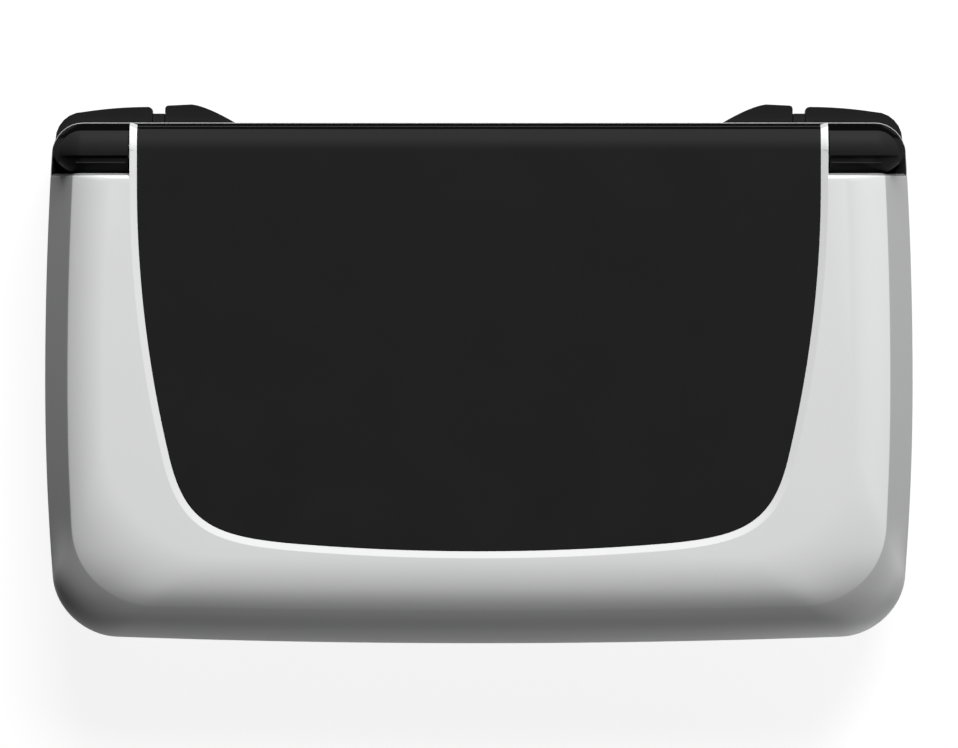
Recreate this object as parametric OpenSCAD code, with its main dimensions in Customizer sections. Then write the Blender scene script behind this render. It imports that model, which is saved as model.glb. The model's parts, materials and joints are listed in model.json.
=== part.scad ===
// Clamshell handheld game console, closed. Millimetres.
// +X is the player's right, +Y points to the hinge, +Z is up.
// The origin lies on the table under the middle of the overall box.

/* [Screen] */
// Diagonal of the picture, in inches
screen_in = 5.5; // [5:0.05:6]
// Width of the case on each side of the cover glass
side_border = 13.52; // [12.6:0.1:15]
// Depth of the case in front of the cover glass
front_border = 7.15; // [7:0.05:9]
// Depth of the case behind the cover glass, to the crest of the shoulder buttons
rear_border = 18.16; // [17.5:0.1:20]

/* [Case] */
// Height of the base with its feet, up to the line where the lid meets it
base_h = 14.45; // [14:0.05:16]
// Height of the closed lid above that line
lid_h = 10.55; // [10.2:0.05:11.5]
// Height of the rubber feet
foot_h = 0.8; // [0.6:0.1:1]
// Wall thickness of the lid and base shells
wall = 1.4; // [1.3:0.05:1.6]

/* [Lid] */
// Distance of the side crease from the widest line
crease_in = 4.2; // [3.8:0.1:4.6]
// Width of the soft roll inside the side crease
roll_w = 6.7; // [6:0.1:7.2]
// Width of the soft roll along the front edge
front_roll = 15.7; // [14.5:0.1:16]
// Depth of the inlay panel below the silver top
panel_drop = 0.35; // [0.25:0.05:0.45]
// Width of the sloping rim round the inlay panel
rim_w = 1.3; // [1.1:0.05:1.4]

/* [Hinge] */
// Radius of the hinge pins
pin_r = 2; // [1.8:0.05:2.1]
// Radial clearance of every running fit
fit = 0.05; // [0.03:0.01:0.08]
// Gap between a knuckle and the lid beside it
side_gap = 0.3; // [0.25:0.05:0.4]

/* [Controls] */
// Depth of the control deck below the base rim
deck_drop = 1.5; // [1.4:0.05:1.6]
// Radius of a stick cap
stick_r = 6; // [5.7:0.1:6.2]
// Span of the direction pad
dpad_span = 21; // [20:0.1:21.5]
// Radius of a face button
face_r = 3.8; // [3.5:0.05:4]
// Distance of each face button from the middle of its group
face_pitch = 8.3; // [8:0.05:8.5]
// Travel of a face button
face_travel = 0.7; // [0.5:0.05:0.75]

/* [Hidden] */

$fn = 48;
eps = 0.05;
skin_w = 0.9;

// Glass and picture, which set the plan of the case.
mm_per_inch = 25.4;
pic_w = screen_in * mm_per_inch * 16 / sqrt(16 * 16 + 9 * 9);
pic_h = pic_w * 9 / 16;
glass_w = pic_w + 6.2;
glass_h = pic_h + 2.5;
glass_t = 0.8;
glass_r = 2;
display_t = 2.2;
case_w = glass_w + 2 * side_border;
case_d = glass_h + front_border + rear_border;
case_h = base_h + lid_h;

// Plan of the case: a rounded rectangle whose sides and front bow outwards.
half_w = case_w / 2;
front_y = case_d / 2;
screen_y = front_border + glass_h / 2 - front_y;
shoulder_out = 3.3;
rear_y = front_y - shoulder_out;
widest_y = -1.5;
bow_r_rear = 690;
bow_r_front = 460;
front_bow = 1.58;
front_corner_r = 11.3;
rear_corner_r = 5.3;

// Heights.
rim_z = base_h - 0.15;
lid_z = base_h + 0.15;
deck_t = 1.4;
deck_z = rim_z - deck_drop;
deck_under = deck_z - deck_t;
bezel_z = lid_z + 1.5;
bezel_t = 1.2;
bezel_top = bezel_z + bezel_t;
floor_z = foot_h + wall;
board_t = 1;
board_z = deck_under - 3.5;
board_top = board_z + board_t;
membrane_t = 0.2;
mouth_gap = 0.1;

// Hinge line and the silver edge in front of the knuckles.
barrel_r = lid_h / 2 - 0.275;
axis_y = rear_y - barrel_r - 0.1;
axis_z = case_h - barrel_r;
panel_r = barrel_r - panel_drop;
sleeve_r = pin_r + 1.3;
neck_y = axis_y - 3.75;
cavity_y = neck_y - 2.5;
panel_hw = half_w - 16.71;
disc_in = panel_hw + 0.06;
disc_out = disc_in + rim_w;
knuckle_x = disc_out + side_gap;
knuckle_r = barrel_r - 0.15;
knuckle_round = half_w - 6.8;
knuckle_tip = half_w - 1.4;
knuckle_end = half_w - 1.7;
foot_reach = 2.85;

// Inlay panel outline: straight, then a wide arc, a tight corner and a bowed front.
panel_front = front_y - 16.59;
panel_straight_y = cavity_y;
panel_side_r = 203;
panel_front_r = 400;
panel_corner_y = 16.16 - panel_front;
panel_corner_x = panel_hw - 28.79;

// Frame that holds the display against the bezel, and the hinge arms on it.
frame_z = bezel_z + glass_t + display_t + 0.2;
frame_t = 0.8;
frame_slot_w = 14;
frame_slot_d = 34;
frame_hw = glass_w / 2 + 0.52;
frame_front = front_y - 14.15;
frame_rear = cavity_y - 3;
frame_screw_places = [[46, 18.15 - front_y], [44, cavity_y - 7.5]];
arm_len = 12;
cable_hw = 5;
cable_r = 1.05;

// Control places on the deck, right side; the left side mirrors them.
stick_x = half_w - 20.5;
stick_y = 15;
pad_x = stick_x;
pad_y = -13;
stick_z = deck_z - 5.8;
housing_hw = 7;
yoke_hw = housing_hw - 1.8;
yoke_pin_r = 0.8;
shaft_pin_r = 0.6;
stick_well_r = stick_r + 2.7;
housing_down = stick_z - floor_z - 0.8;
housing_up = 2;
shaft_r = 1.2;
cap_z = 6.3;
cap_edge = 0.9;
cap_crown = 0.7;
dome_r = 24;
neck_r = 2.2;
pad_arm_w = 7.2;
pad_proud = 1.3;
face_proud = 1.5;
menu_places = [-32, 0, 32];
menu_y = -21;
menu_w = 7.1;
menu_h = 2.7;
menu_proud = 0.6;
menu_travel = 0.5;
light_places = [-4, 0, 4];
light_y = neck_y - 8.3;
light_r = 0.7;

// Shoulder buttons.
shoulder_lo = foot_h + 4.2;
shoulder_hi = rim_z - 1.7;
bumper_pin = [half_w - 17.1, rear_y - 4.25];
trigger_pin = [half_w - 23.4, bumper_pin.y];
shoulder_pin_r = 0.8;
bridge_x0 = half_w - 21.28;
bridge_x1 = half_w - 19.22;
switch_places = [half_w - 30.9, half_w - 8.5];
switch_y = rear_y - 7.45;
switch_z = foot_h + 6;

// Sockets and controls in the rear wall, and the card slot in the front.
usb_x = 0;
usb_w = 8.9;
usb_h = 3.2;
usb_z = board_top + usb_h / 2;
video_x = -15;
video_w = 7.4;
video_h = 2.9;
phone_x = 14;
phone_r = 2.5;
phone_z = board_top - 0.1;
rear_button_x = half_w - 45.5;
rear_button_z = rim_z - 5.3;
power_w = 6;
power_h = 2.6;
volume_w = 12;
volume_h = 3.2;
rocker_y = rear_y - 1.25;
card_x = -34;
card_w = 11.2;
card_h = 1.4;
card_z = floor_z + 3.8;
card_front = 5.35 - front_y;
card_rear = 18.15 - front_y;

// Circuit board, battery and speakers.
board_hw = half_w - 7.5;
board_front = -26;
board_step_y = 2.5;
board_tongue_hw = half_w - 36.5;
board_rear = rear_y - 4.85;
chip_places = [[-26, -6], [24, -8], [26, 20], [-28, 14]];
chip_w = 9;
chip_d = 6;
chip_t = 0.8;
spreader_hw = 15;
spreader_front = 4;
spreader_rear = 30;
spreader_t = 1.2;
battery_hw = 33;
battery_rear = 22;
speaker_in = half_w - 11.7;
speaker_out = half_w - 5.5;
speaker_front = -13;
speaker_len = 20;
speaker_t = 2.8;
magnet_hw = 6;
magnet_front = 4.25 - front_y;
magnet_d = 2.5;
magnet_t = 1.8;
slot_pitch = 2.2;
vent_pitch = 5;
vent_w = 1.6;
vent_len = 14;
vent_rear = neck_y - 0.3;

// Fasteners and feet, right side; the left side mirrors them.
screw_places = [[half_w - 15.5, 18.15 - front_y], [half_w - 27.5, neck_y - 5.3], [20, 15.15 - front_y]];
post_r = 2.6;
thread_r = 0.9;
board_screw_places = [[38, neck_y - 0.3], [half_w - 11.5, -1]];
foot_places = [[40, 17.15 - front_y], [half_w - 17.5, neck_y - 4.3]];
foot_w = 9;
foot_d = 5;
lid_screw_places = [[half_w - 7.2, cavity_y - 7], [half_w - 10, 15.15 - front_y]];
lid_bumper_places = [[35, 1.35 - front_y], [half_w - 1.7, 12]];

// ---------- Plan and section functions ----------

// How much of the half width is lost at depth y.
function bulge(y) = pow(y - widest_y, 2) / (2 * (y > widest_y ? bow_r_rear : bow_r_front)) / half_w;

// Bows a plain rounded rectangle into the plan of the case.
function bow(p) = [p.x * (1 - bulge(p.y)),
    p.y + (p.y < 0 ? front_bow * pow(p.x / half_w, 2) * pow(p.y / front_y, 2) : 0)];

// Right half of a rounded rectangle: half width a, front -f, rear r, corner radii rf and rr.
function half_plan(a, f, r, rf, rr) = concat(
    [for (i = [0:4]) [(a - rf) * i / 5, -f]],
    [for (i = [0:8]) let (t = -90 + 90 * i / 8) [a - rf + rf * cos(t), rf - f + rf * sin(t)]],
    [for (i = [1:5]) [a, rf - f + (r - rr + f - rf) * i / 6]],
    [for (i = [0:4]) let (t = 90 * i / 4) [a - rr + rr * cos(t), r - rr + rr * sin(t)]]);

function mirrored(half) = concat(half,
    [for (i = [len(half) - 1:-1:0]) if (half[i].x > 0.001) [-half[i].x, half[i].y]]);

function plan(side_in, front_in, rear, rf, rr) =
    [for (p = mirrored(half_plan(half_w - side_in, front_y - front_in, rear, rf, rr))) bow(p)];

function at_height(outline, z) = [for (p = outline) [p.x, p.y, z]];

// Quarter of a superellipse, 0 at the start of the roll and 1 at its end.
function roll(t, n) = 1 - pow(max(0, 1 - pow(max(0, t), n)), 1 / n);

// Insets of the lid's outer skin from the widest line, by height.
lid_wall_z = lid_z + 2.5;
crease_z = case_h - 1.8;
function lid_side_in(z) =
    z < lid_wall_z ? 0.1 * (z - lid_z)
    : z < crease_z ? 0.25 + (z - lid_wall_z) / (crease_z - lid_wall_z) * (crease_in - 0.25)
    : crease_in + roll_w * (1 - sqrt(max(0, 1 - (z - crease_z) / (case_h - crease_z))));
function lid_front_in(z) = front_roll * roll((z - lid_z - 0.6) / (case_h - lid_z - 0.6), 2);
function lid_rear(z) = neck_y - max(0, z - case_h + 0.9);
function lid_ring(z) = at_height(
    plan(lid_side_in(z), lid_front_in(z), lid_rear(z), front_corner_r + 0.6 * lid_front_in(z), 0.8), z);
lid_heights = concat(
    [lid_z, lid_z + 0.9, lid_wall_z],
    [for (i = [1:4]) lid_wall_z + (crease_z - lid_wall_z) * i / 4],
    [for (i = [1:5]) crease_z + (case_h - crease_z) * (1 - pow(1 - i / 5, 2))]);

// Insets of the lid's cavity: a straight mouth for the bezel, then the outer skin plus the wall.
lid_mouth = 2.5;
lid_mouth_r = front_corner_r - 1;
roof_z = case_h - panel_drop - skin_w - 0.05 - 1;
function cavity_ring(z) = at_height(
    plan(max(lid_mouth, lid_side_in(z + 1) + wall), max(lid_mouth + 0.1, lid_front_in(z + 1) + wall),
        cavity_y, lid_mouth_r + 0.5 * lid_front_in(z), 1), z);
cavity_heights = [lid_z - 1, bezel_top + 0.1, roof_z - 3.4, roof_z - 1.8, roof_z - 0.8, roof_z];

// Insets of the base's outer skin, by height, and of its cavity.
function base_t(z) = (rim_z - z) / (rim_z - foot_h);
function belly_side(z) = 9 * roll(base_t(z), 2.6);
function belly_front(z) = 12 * roll(base_t(z), 2.4);
function belly_rear(z) = 5 * roll(base_t(z), 3);
function base_ring(z) = let (f = belly_front(z), r = belly_rear(z))
    at_height(plan(belly_side(z), f, rear_y - r, front_corner_r + 0.4 * f, rear_corner_r + 0.4 * r), z);
base_heights = [for (i = [0:9]) rim_z - (rim_z - foot_h) * (1 - pow(i / 9, 2.2))];
base_mouth = 2;
function base_cavity_ring(z) = let (s = max(base_mouth, belly_side(z - 1) + wall),
        f = max(base_mouth, belly_front(z - 1) + wall), r = belly_rear(z - 1) + wall)
    at_height(plan(s, f, rear_y - r, front_corner_r - base_mouth + 0.4 * f,
        rear_corner_r - wall + 0.4 * r), z);
base_cavity_heights = [floor_z, floor_z + 0.7, floor_z + 1.7, floor_z + 3.2, floor_z + 5.4,
    deck_under - 0.6, rim_z + 1];
base_mouth_r = front_corner_r - 0.6 * base_mouth;

// Right half of the inlay panel's outline from the front middle to the hinge.
function bezier(p, t) = p[0] * pow(1 - t, 3) + 3 * p[1] * t * pow(1 - t, 2)
    + 3 * p[2] * pow(t, 2) * (1 - t) + p[3] * pow(t, 3);
function panel_x(y) = panel_hw - pow(max(0, panel_straight_y - y), 2) / (2 * panel_side_r);
function panel_y(x) = x * x / (2 * panel_front_r) - panel_front;
corner_start = [panel_corner_x, panel_y(panel_corner_x)];
corner_end = [panel_x(panel_corner_y), panel_corner_y];
corner_pull_front = [14.9, 1.2];
corner_pull_side = [2.85, 11.4];
corner_handles = [corner_start, corner_start + corner_pull_front, corner_end - corner_pull_side, corner_end];
panel_half = concat(
    [for (i = [0:3]) [panel_corner_x * i / 4, panel_y(panel_corner_x * i / 4)]],
    [for (i = [0:10]) bezier(corner_handles, i / 10)],
    [for (i = [1:8]) let (y = panel_corner_y + (panel_straight_y - panel_corner_y) * i / 8) [panel_x(y), y]]);

// Moves a half outline outwards by d along its own normals.
function grown(half, d) = [for (i = [0:len(half) - 1])
    let (a = half[max(0, i - 1)], b = half[min(len(half) - 1, i + 1)], t = (b - a) / norm(b - a))
    i == 0 ? half[0] + [0, -d] : half[i] + d * [t.y, -t.x]];

// Panel outline grown by d and carried straight back to the depth y.
function panel_plan(d, y) = mirrored(concat(grown(panel_half, d), [[panel_hw + d, y]]));

// ---------- Small helpers ----------

// Solid skin over a stack of outlines with equal numbers of points, lowest first.
module skin(rings) {
    n = len(rings[0]);
    m = len(rings);
    points = [for (ring = rings) for (p = ring) p];
    sides = [for (k = [0:m - 2]) for (i = [0:n - 1]) let (j = (i + 1) % n)
        each [[k * n + i, (k + 1) * n + i, (k + 1) * n + j], [k * n + i, (k + 1) * n + j, k * n + j]]];
    bottom = [[for (i = [0:n - 1]) i]];
    top = [[for (i = [n - 1:-1:0]) (m - 1) * n + i]];
    polyhedron(points, concat(bottom, sides, top));
}

// Box from corner a to corner b.
module block(a, b) {
    translate(a) cube(b - a);
}

// Cylinder along X, Y or Z between two places on that axis.
module rod_x(x0, x1, y, z, r) {
    translate([min(x0, x1), y, z]) rotate([0, 90, 0]) cylinder(r = r, h = abs(x1 - x0));
}

module rod_y(x, y0, y1, z, r) {
    translate([x, max(y0, y1), z]) rotate([90, 0, 0]) cylinder(r = r, h = abs(y1 - y0));
}

module rod_z(p, z0, z1, r) {
    translate([p.x, p.y, z0]) cylinder(r = r, h = z1 - z0);
}

// A flat shape that faces the rear at p and runs forwards by depth.
module rear_facing(p, depth) {
    translate(p) rotate([90, 0, 0]) linear_extrude(depth) children();
}

// The same thing on the right and, mirrored, on the left.
module both_sides() {
    children();
    mirror([1, 0, 0]) children();
}

module on_side(side) {
    if (side > 0) children();
    else mirror([1, 0, 0]) children();
}

// Flat rounded rectangle, w by h about the origin.
module rounded(w, h, r) {
    union() {
        square([w - 2 * r, h], center = true);
        square([w, h - 2 * r], center = true);
        for (sx = [-1, 1], sy = [-1, 1]) translate([sx * (w / 2 - r), sy * (h / 2 - r)]) circle(r = r);
    }
}

module pill(w, h) {
    rounded(w, h, h / 2 - 0.01);
}

module face_places() {
    for (p = [[0, 1], [1, 0], [0, -1], [-1, 0]]) translate([pad_x, pad_y] + face_pitch * p) children();
}

// ---------- Base ----------

module base_shell() color("silver") difference() {
    union() {
        difference() {
            skin([for (z = base_heights) base_ring(z)]);
            skin([for (z = base_cavity_heights) base_cavity_ring(z)]);
        }
        both_sides() {
            for (p = screw_places) rod_z(p, floor_z - eps, deck_under, post_r);
            for (p = board_screw_places) rod_z(p, floor_z - eps, board_z, 2.2);
            rod_z(bumper_pin, floor_z - eps, shoulder_lo - 0.3, 1.9);
            rod_z(trigger_pin, floor_z - eps, shoulder_lo - 0.3, 1.9);
            for (x = switch_places)
                block([x - 2, switch_y, floor_z - eps], [x + 2, switch_y + 1.6, switch_z]);
            stick_posts();
        }
    }
    both_sides() {
        block([trigger_in - 0.8, rear_y - 5.65, shoulder_lo - 0.3], [half_w + 1, front_y, shoulder_hi + 0.3]);
        for (p = screw_places) {
            rod_z(p, foot_h - 1, foot_h + 1.6, post_r - 0.6);
            rod_z(p, foot_h, deck_z, thread_r);
        }
        for (p = board_screw_places) rod_z(p, board_z - 3, board_z + 1, 0.7);
        rod_z(bumper_pin, shoulder_lo - 1.6, shoulder_lo, shoulder_pin_r);
        rod_z(trigger_pin, shoulder_lo - 1.6, shoulder_lo, shoulder_pin_r);
    }
    rear_windows();
    for (i = [-3:3])
        block([vent_pitch * i - vent_w / 2, vent_rear - vent_len, foot_h - 1],
            [vent_pitch * i + vent_w / 2, vent_rear, floor_z + 1]);
    block([card_x - card_w / 2 - 0.1, -front_y - 1, card_z - card_h / 2],
        [card_x + card_w / 2 + 0.1, card_front + 3, card_z + card_h / 2]);
}

// Windows in the rear wall for the ports and the two rear controls.
module rear_windows() {
    y0 = rear_y - 4;
    y1 = rear_y + 1;
    block([usb_x - usb_w / 2 - 0.15, y0, board_top], [usb_x + usb_w / 2 + 0.15, y1, board_top + usb_h + 0.1]);
    block([video_x - video_w / 2 - 0.2, y0, board_top],
        [video_x + video_w / 2 + 0.2, y1, board_top + video_h + 0.2]);
    rod_y(phone_x, y0, y1, phone_z, phone_r + fit);
    rear_facing([rear_button_x, y1, rear_button_z], y1 - y0) pill(power_w + 0.6, power_h + 0.6);
    rear_facing([-rear_button_x, y1, rear_button_z], y1 - y0) pill(volume_w + 0.7, volume_h + 0.6);
}

module stick_posts() {
    for (sx = [-1, 1]) rod_z([stick_x + sx * 4, stick_y], floor_z - eps, stick_z - housing_down, 1.6);
}

// Cross of the direction pad, grown by d.
module dpad_cross(d) {
    for (a = [0, 90]) rotate(a) rounded(dpad_span + 2 * d, pad_arm_w + 2 * d, 1.2);
}

module deck() color([0.13, 0.13, 0.14]) difference() {
    union() {
        translate([0, 0, deck_under]) linear_extrude(deck_t)
            polygon(plan(base_mouth + mouth_gap, base_mouth + mouth_gap, neck_y - 1.9, base_mouth_r, 1.5));
        both_sides() translate([stick_x, stick_y, stick_z + 2.3]) cylinder(r = stick_well_r + 0.9, h = 3);
    }
    both_sides() {
        translate([stick_x, stick_y, stick_z + 3.1]) cylinder(r = stick_well_r, h = 6);
        translate([stick_x, stick_y, stick_z + 2]) cylinder(r = 3.5, h = 3);
        for (p = screw_places) rod_z(p, deck_under - 1, deck_under + 0.8, thread_r);
    }
    translate([-pad_x, pad_y, deck_under - 1]) linear_extrude(4) dpad_cross(0.35);
    translate([0, 0, deck_under - 1]) linear_extrude(4) face_places() circle(r = face_r + 0.25);
    for (x = menu_places) translate([x, menu_y, deck_under - 1]) linear_extrude(4)
        pill(menu_w + 0.5, menu_h + 0.5);
    for (x = light_places) rod_z([x, light_y], deck_under - 1, deck_z + 1, light_r);
}

// Black rear frame: the plate under the hinge and the bridges between the shoulder buttons.
module rear_frame() color([0.12, 0.12, 0.13]) difference() {
    union() {
        translate([0, 0, rim_z - 1.4]) linear_extrude(1.4) intersection() {
            polygon(plan(base_mouth + mouth_gap, 20, rear_y - wall - mouth_gap, front_corner_r,
                rear_corner_r - 0.5 * wall));
            translate([-half_w, neck_y - 1.7]) square([case_w, 20]);
        }
        both_sides() {
            block([bridge_x0, bumper_pin.y - 0.6, shoulder_lo], [bridge_x1, rear_y - wall - 0.35, rim_z - 1]);
            block([bridge_x0, rear_y - wall - 0.4, shoulder_lo], [bridge_x1, front_y - 1.65, shoulder_hi]);
        }
    }
    both_sides() {
        rod_z(bumper_pin, rim_z - 3, rim_z - 0.4, shoulder_pin_r);
        rod_z(trigger_pin, rim_z - 3, rim_z - 0.4, shoulder_pin_r);
    }
}

// Half section of a round-ended barrel from x0, with its outer end rounded from knuckle_round on.
function bullet_half(x0, r, grow) = concat([[0, x0], [r + grow, x0]],
    [for (i = [0:10]) let (t = 9 * i)
        [(r + grow) * max(0, cos(t)), knuckle_round + (knuckle_tip - knuckle_round + grow) * sin(t)]]);

module bullet(x0, r, grow) {
    translate([0, axis_y, axis_z]) rotate([90, 0, 90]) rotate_extrude() polygon(bullet_half(x0, r, grow));
}

// Foot of a knuckle: the barrel's plan, cut to a width.
module knuckle_foot() {
    half = [for (p = bullet_half(knuckle_x, knuckle_r, 0)) [p.y, min(foot_reach, p.x)]];
    translate([0, axis_y, rim_z]) linear_extrude(axis_z - rim_z) intersection() {
        union() {
            polygon(half);
            mirror([0, 1]) polygon(half);
        }
        translate([0, -20]) square([knuckle_end, 40]);
    }
}

module knuckle(side) color([0.1, 0.1, 0.11]) on_side(side) difference() {
    union() {
        difference() {
            bullet(knuckle_x, knuckle_r, 0);
            block([knuckle_x - 1, axis_y - 9, axis_z - 9], [half_w + 1, axis_y - 2, axis_z + 9]);
        }
        bullet(knuckle_x, knuckle_r - 0.4, 0);
        knuckle_foot();
    }
    rod_x(knuckle_x - 1, knuckle_end - 2.5, axis_y, axis_z, pin_r);
}

module knuckle_left() knuckle(-1);
module knuckle_right() knuckle(1);

module hinge_pin(side) color("gainsboro") on_side(side)
    rod_x(disc_in - arm_len - 1.4, knuckle_end - 2.5, axis_y, axis_z, pin_r);

module hinge_pin_left() hinge_pin(-1);
module hinge_pin_right() hinge_pin(1);

module main_board() color("darkgreen") difference() {
    union() {
        translate([0, 0, board_z]) linear_extrude(board_t) {
            translate([-board_hw, board_front]) square([2 * board_hw, board_step_y - board_front]);
            translate([-board_tongue_hw, board_step_y - 0.5])
                square([2 * board_tongue_hw, board_rear - board_step_y + 0.5]);
        }
        for (p = chip_places)
            translate([p.x, p.y, board_top - 0.1]) linear_extrude(chip_t + 0.1)
                square([chip_w, chip_d], center = true);
        rear_switch(rear_button_x, 5);
        for (sx = [-1, 1]) rear_switch(4 * sx - rear_button_x, 2);
    }
    both_sides() for (p = board_screw_places) rod_z(p, board_z - 1, board_z + 2, 0.75);
}

// Switch on the board's rear edge, w wide, behind a rear control.
module rear_switch(x, w) {
    block([x - w / 2, board_rear - 1, board_z + 0.1], [x + w / 2, board_rear + 0.6, board_z + 2.2]);
}

module heat_spreader() color("goldenrod")
    block([-spreader_hw, spreader_front, board_top], [spreader_hw, spreader_rear, board_top + spreader_t]);

module battery() color([0.2, 0.22, 0.26])
    block([-battery_hw, card_rear + 2, floor_z + 0.2], [battery_hw, battery_rear, board_z - 0.6]);

module button_membranes() color([0.45, 0.45, 0.47]) translate([0, 0, board_top]) {
    linear_extrude(membrane_t) {
        translate([-pad_x, pad_y]) difference() {
            circle(r = pad_disc_r + 1);
            circle(r = pivot_hw + 0.6);
        }
        face_places() circle(r = face_r + 0.6);
        for (x = menu_places) translate([x, menu_y]) pill(menu_w + 0.9, menu_h + 0.9);
    }
}

module status_lights() color([0.9, 0.95, 1])
    for (x = light_places) rod_z([x, light_y], deck_under - 0.8, deck_z, light_r);

module usb_port() color("silver") difference() {
    rear_facing([usb_x, rear_y - 0.5, usb_z], 7.3) rounded(usb_w, usb_h, 1.55);
    rear_facing([usb_x, rear_y, usb_z], 6.5) rounded(usb_w - 0.6, usb_h - 0.6, 1.25);
}

module video_port() color("silver") difference() {
    block([video_x - video_w / 2, rear_y - 8, board_top],
        [video_x + video_w / 2, rear_y - 0.5, board_top + video_h]);
    block([video_x - video_w / 2 + 0.4, rear_y - 7.2, board_top + 0.4],
        [video_x + video_w / 2 - 0.4, rear_y + 1, board_top + video_h - 0.4]);
}

module headphone_jack() color([0.15, 0.15, 0.15]) difference() {
    union() {
        block([phone_x - phone_r - 0.3, rear_y - 4.1, board_top],
            [phone_x + phone_r + 0.3, rear_y - wall - 0.6, board_top + 2.2]);
        rod_y(phone_x, rear_y - 4.1, rear_y - 0.3, phone_z, phone_r);
    }
    rod_y(phone_x, rear_y - 3.8, rear_y + 1, phone_z, phone_r - 0.75);
    block([phone_x - 5, rear_y - 4.6, board_z - 4], [phone_x + 5, rear_y - 4, board_top + 4]);
}

module card_slot() color("gray") difference() {
    block([card_x - card_w / 2 - 1.4, card_front, card_z - card_h / 2 - 0.6],
        [card_x + card_w / 2 + 1.4, card_rear, card_z + card_h / 2 + 0.6]);
    block([card_x - card_w / 2, card_front - 1, card_z - card_h / 2],
        [card_x + card_w / 2, card_rear - 1, card_z + card_h / 2]);
}

module shoulder_pins() color("gainsboro") both_sides() {
    rod_z(bumper_pin, shoulder_lo - 1.6, rim_z - 0.4, shoulder_pin_r);
    rod_z(trigger_pin, shoulder_lo - 1.6, rim_z - 0.4, shoulder_pin_r);
}

module shoulder_switches() color([0.2, 0.2, 0.2]) both_sides() for (x = switch_places) {
    block([x - 2, switch_y, switch_z], [x + 2, switch_y + 1.9, switch_z + 4]);
    rod_y(x, switch_y + 1.8, switch_y + 2.7, switch_z + 2, 0.9);
}

module screw_shape(head_r, head_h, shank_r, length) {
    difference() {
        cylinder(r = head_r, h = head_h);
        translate([0, 0, -0.1]) for (a = [0, 90]) rotate(a) translate([-head_r * 0.6, -0.2, 0])
            cube([head_r * 1.2, 0.4, head_h * 0.5]);
    }
    translate([0, 0, head_h]) cylinder(r = shank_r, h = length);
}

module base_screws() color("dimgray") both_sides() for (p = screw_places)
    translate([p.x, p.y, foot_h + 0.6]) screw_shape(post_r - 0.7, 1, thread_r, deck_under - foot_h - 0.8);

module board_screws() color("dimgray") both_sides() for (p = board_screw_places)
    translate([p.x, p.y, board_top + 0.6]) mirror([0, 0, 1]) screw_shape(1.5, 0.6, 0.7, 3.4);

module rubber_feet() color([0.2, 0.2, 0.2]) both_sides() for (p = foot_places)
    translate([p.x, p.y, 0]) linear_extrude(foot_h) pill(foot_w, foot_d);

// ---------- Lid ----------

module lid_shell() color("silver") difference() {
    union() {
        difference() {
            skin([for (z = lid_heights) lid_ring(z)]);
            skin([for (z = cavity_heights) cavity_ring(z)]);
        }
        both_sides() {
            translate([disc_in, axis_y, axis_z]) rotate([0, 90, 0])
                cylinder(r1 = panel_r - 0.02, r2 = barrel_r, h = rim_w);
            block([disc_in, cavity_y - 2, axis_z], [disc_out, axis_y, case_h]);
            block([disc_in, cavity_y - 2, axis_z - 3], [disc_out, axis_y - 3.5, axis_z + eps]);
            for (p = lid_screw_places) rod_z(p, bezel_top, roof_z + 0.2, 2.2);
            for (p = frame_screw_places) rod_z(p, frame_z + frame_t, roof_z + 0.2, 2.2);
        }
    }
    block([-disc_in, cavity_y - 0.2, lid_z - 1], [disc_in, axis_y, roof_z + 1]);
    translate([0, 0, roof_z + 1]) linear_extrude(5) polygon(panel_plan(0.06, axis_y));
    skin([for (step = [[0.06, -panel_drop - 0.02], [rim_w, 0], [rim_w + 0.3, 0.5]])
        at_height(panel_plan(step[0], axis_y + 8), case_h + step[1])]);
    both_sides() {
        bullet(disc_out, knuckle_r, 0.2);
        block([disc_out, axis_y - 3.3, lid_z - 1], [half_w + 5, axis_y + 8, case_h + 1]);
        rod_x(disc_in - 1, disc_out + 1, axis_y, axis_z, pin_r + fit);
        for (p = lid_screw_places) rod_z(p, bezel_z, bezel_z + 5.2, 0.75);
        for (p = frame_screw_places) rod_z(p, frame_z, frame_z + frame_t + 1.5, 0.6);
    }
}

// Black inlay: a flat plate that turns into the upper rear quarter of the hinge barrel.
module lid_panel() color([0.13, 0.13, 0.14]) union() {
    translate([0, 0, case_h - panel_drop - skin_w]) linear_extrude(skin_w)
        polygon(panel_plan(0, axis_y + eps));
    difference() {
        rod_x(-panel_hw, panel_hw, axis_y, axis_z, panel_r);
        rod_x(-panel_hw - 1, panel_hw + 1, axis_y, axis_z, panel_r - skin_w);
        block([-half_w, axis_y - 9, axis_z - 9], [half_w, axis_y, axis_z + 9]);
        block([-half_w, axis_y - 9, axis_z - 9], [half_w, axis_y + 9, axis_z]);
    }
}

module lid_bezel() color([0.12, 0.12, 0.13]) translate([0, 0, bezel_z]) difference() {
    linear_extrude(bezel_t)
        polygon(plan(lid_mouth + mouth_gap, lid_mouth + 2 * mouth_gap, cavity_y - mouth_gap,
            lid_mouth_r + 0.3, 1.5));
    translate([0, screen_y, -1]) linear_extrude(4)
        rounded(glass_w + 0.2, glass_h + 0.2, glass_r + 0.1);
    both_sides() {
        for (i = [-3:3]) translate([speaker_in + 3.2, speaker_front + speaker_len / 2 + i * slot_pitch, -1])
            linear_extrude(4) pill(5, 1);
        for (p = lid_screw_places) {
            rod_z(p, -1, 0.85, 1.6);
            rod_z(p, 0, 2, 0.8);
        }
    }
}

module screen_glass() color([0.04, 0.04, 0.05]) translate([0, screen_y, bezel_z])
    linear_extrude(glass_t) rounded(glass_w, glass_h, glass_r);

module display_panel() color([0.3, 0.32, 0.35]) translate([0, screen_y, bezel_z + glass_t])
    linear_extrude(display_t) square([pic_w + 4, pic_h + 1.6], center = true);

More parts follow.
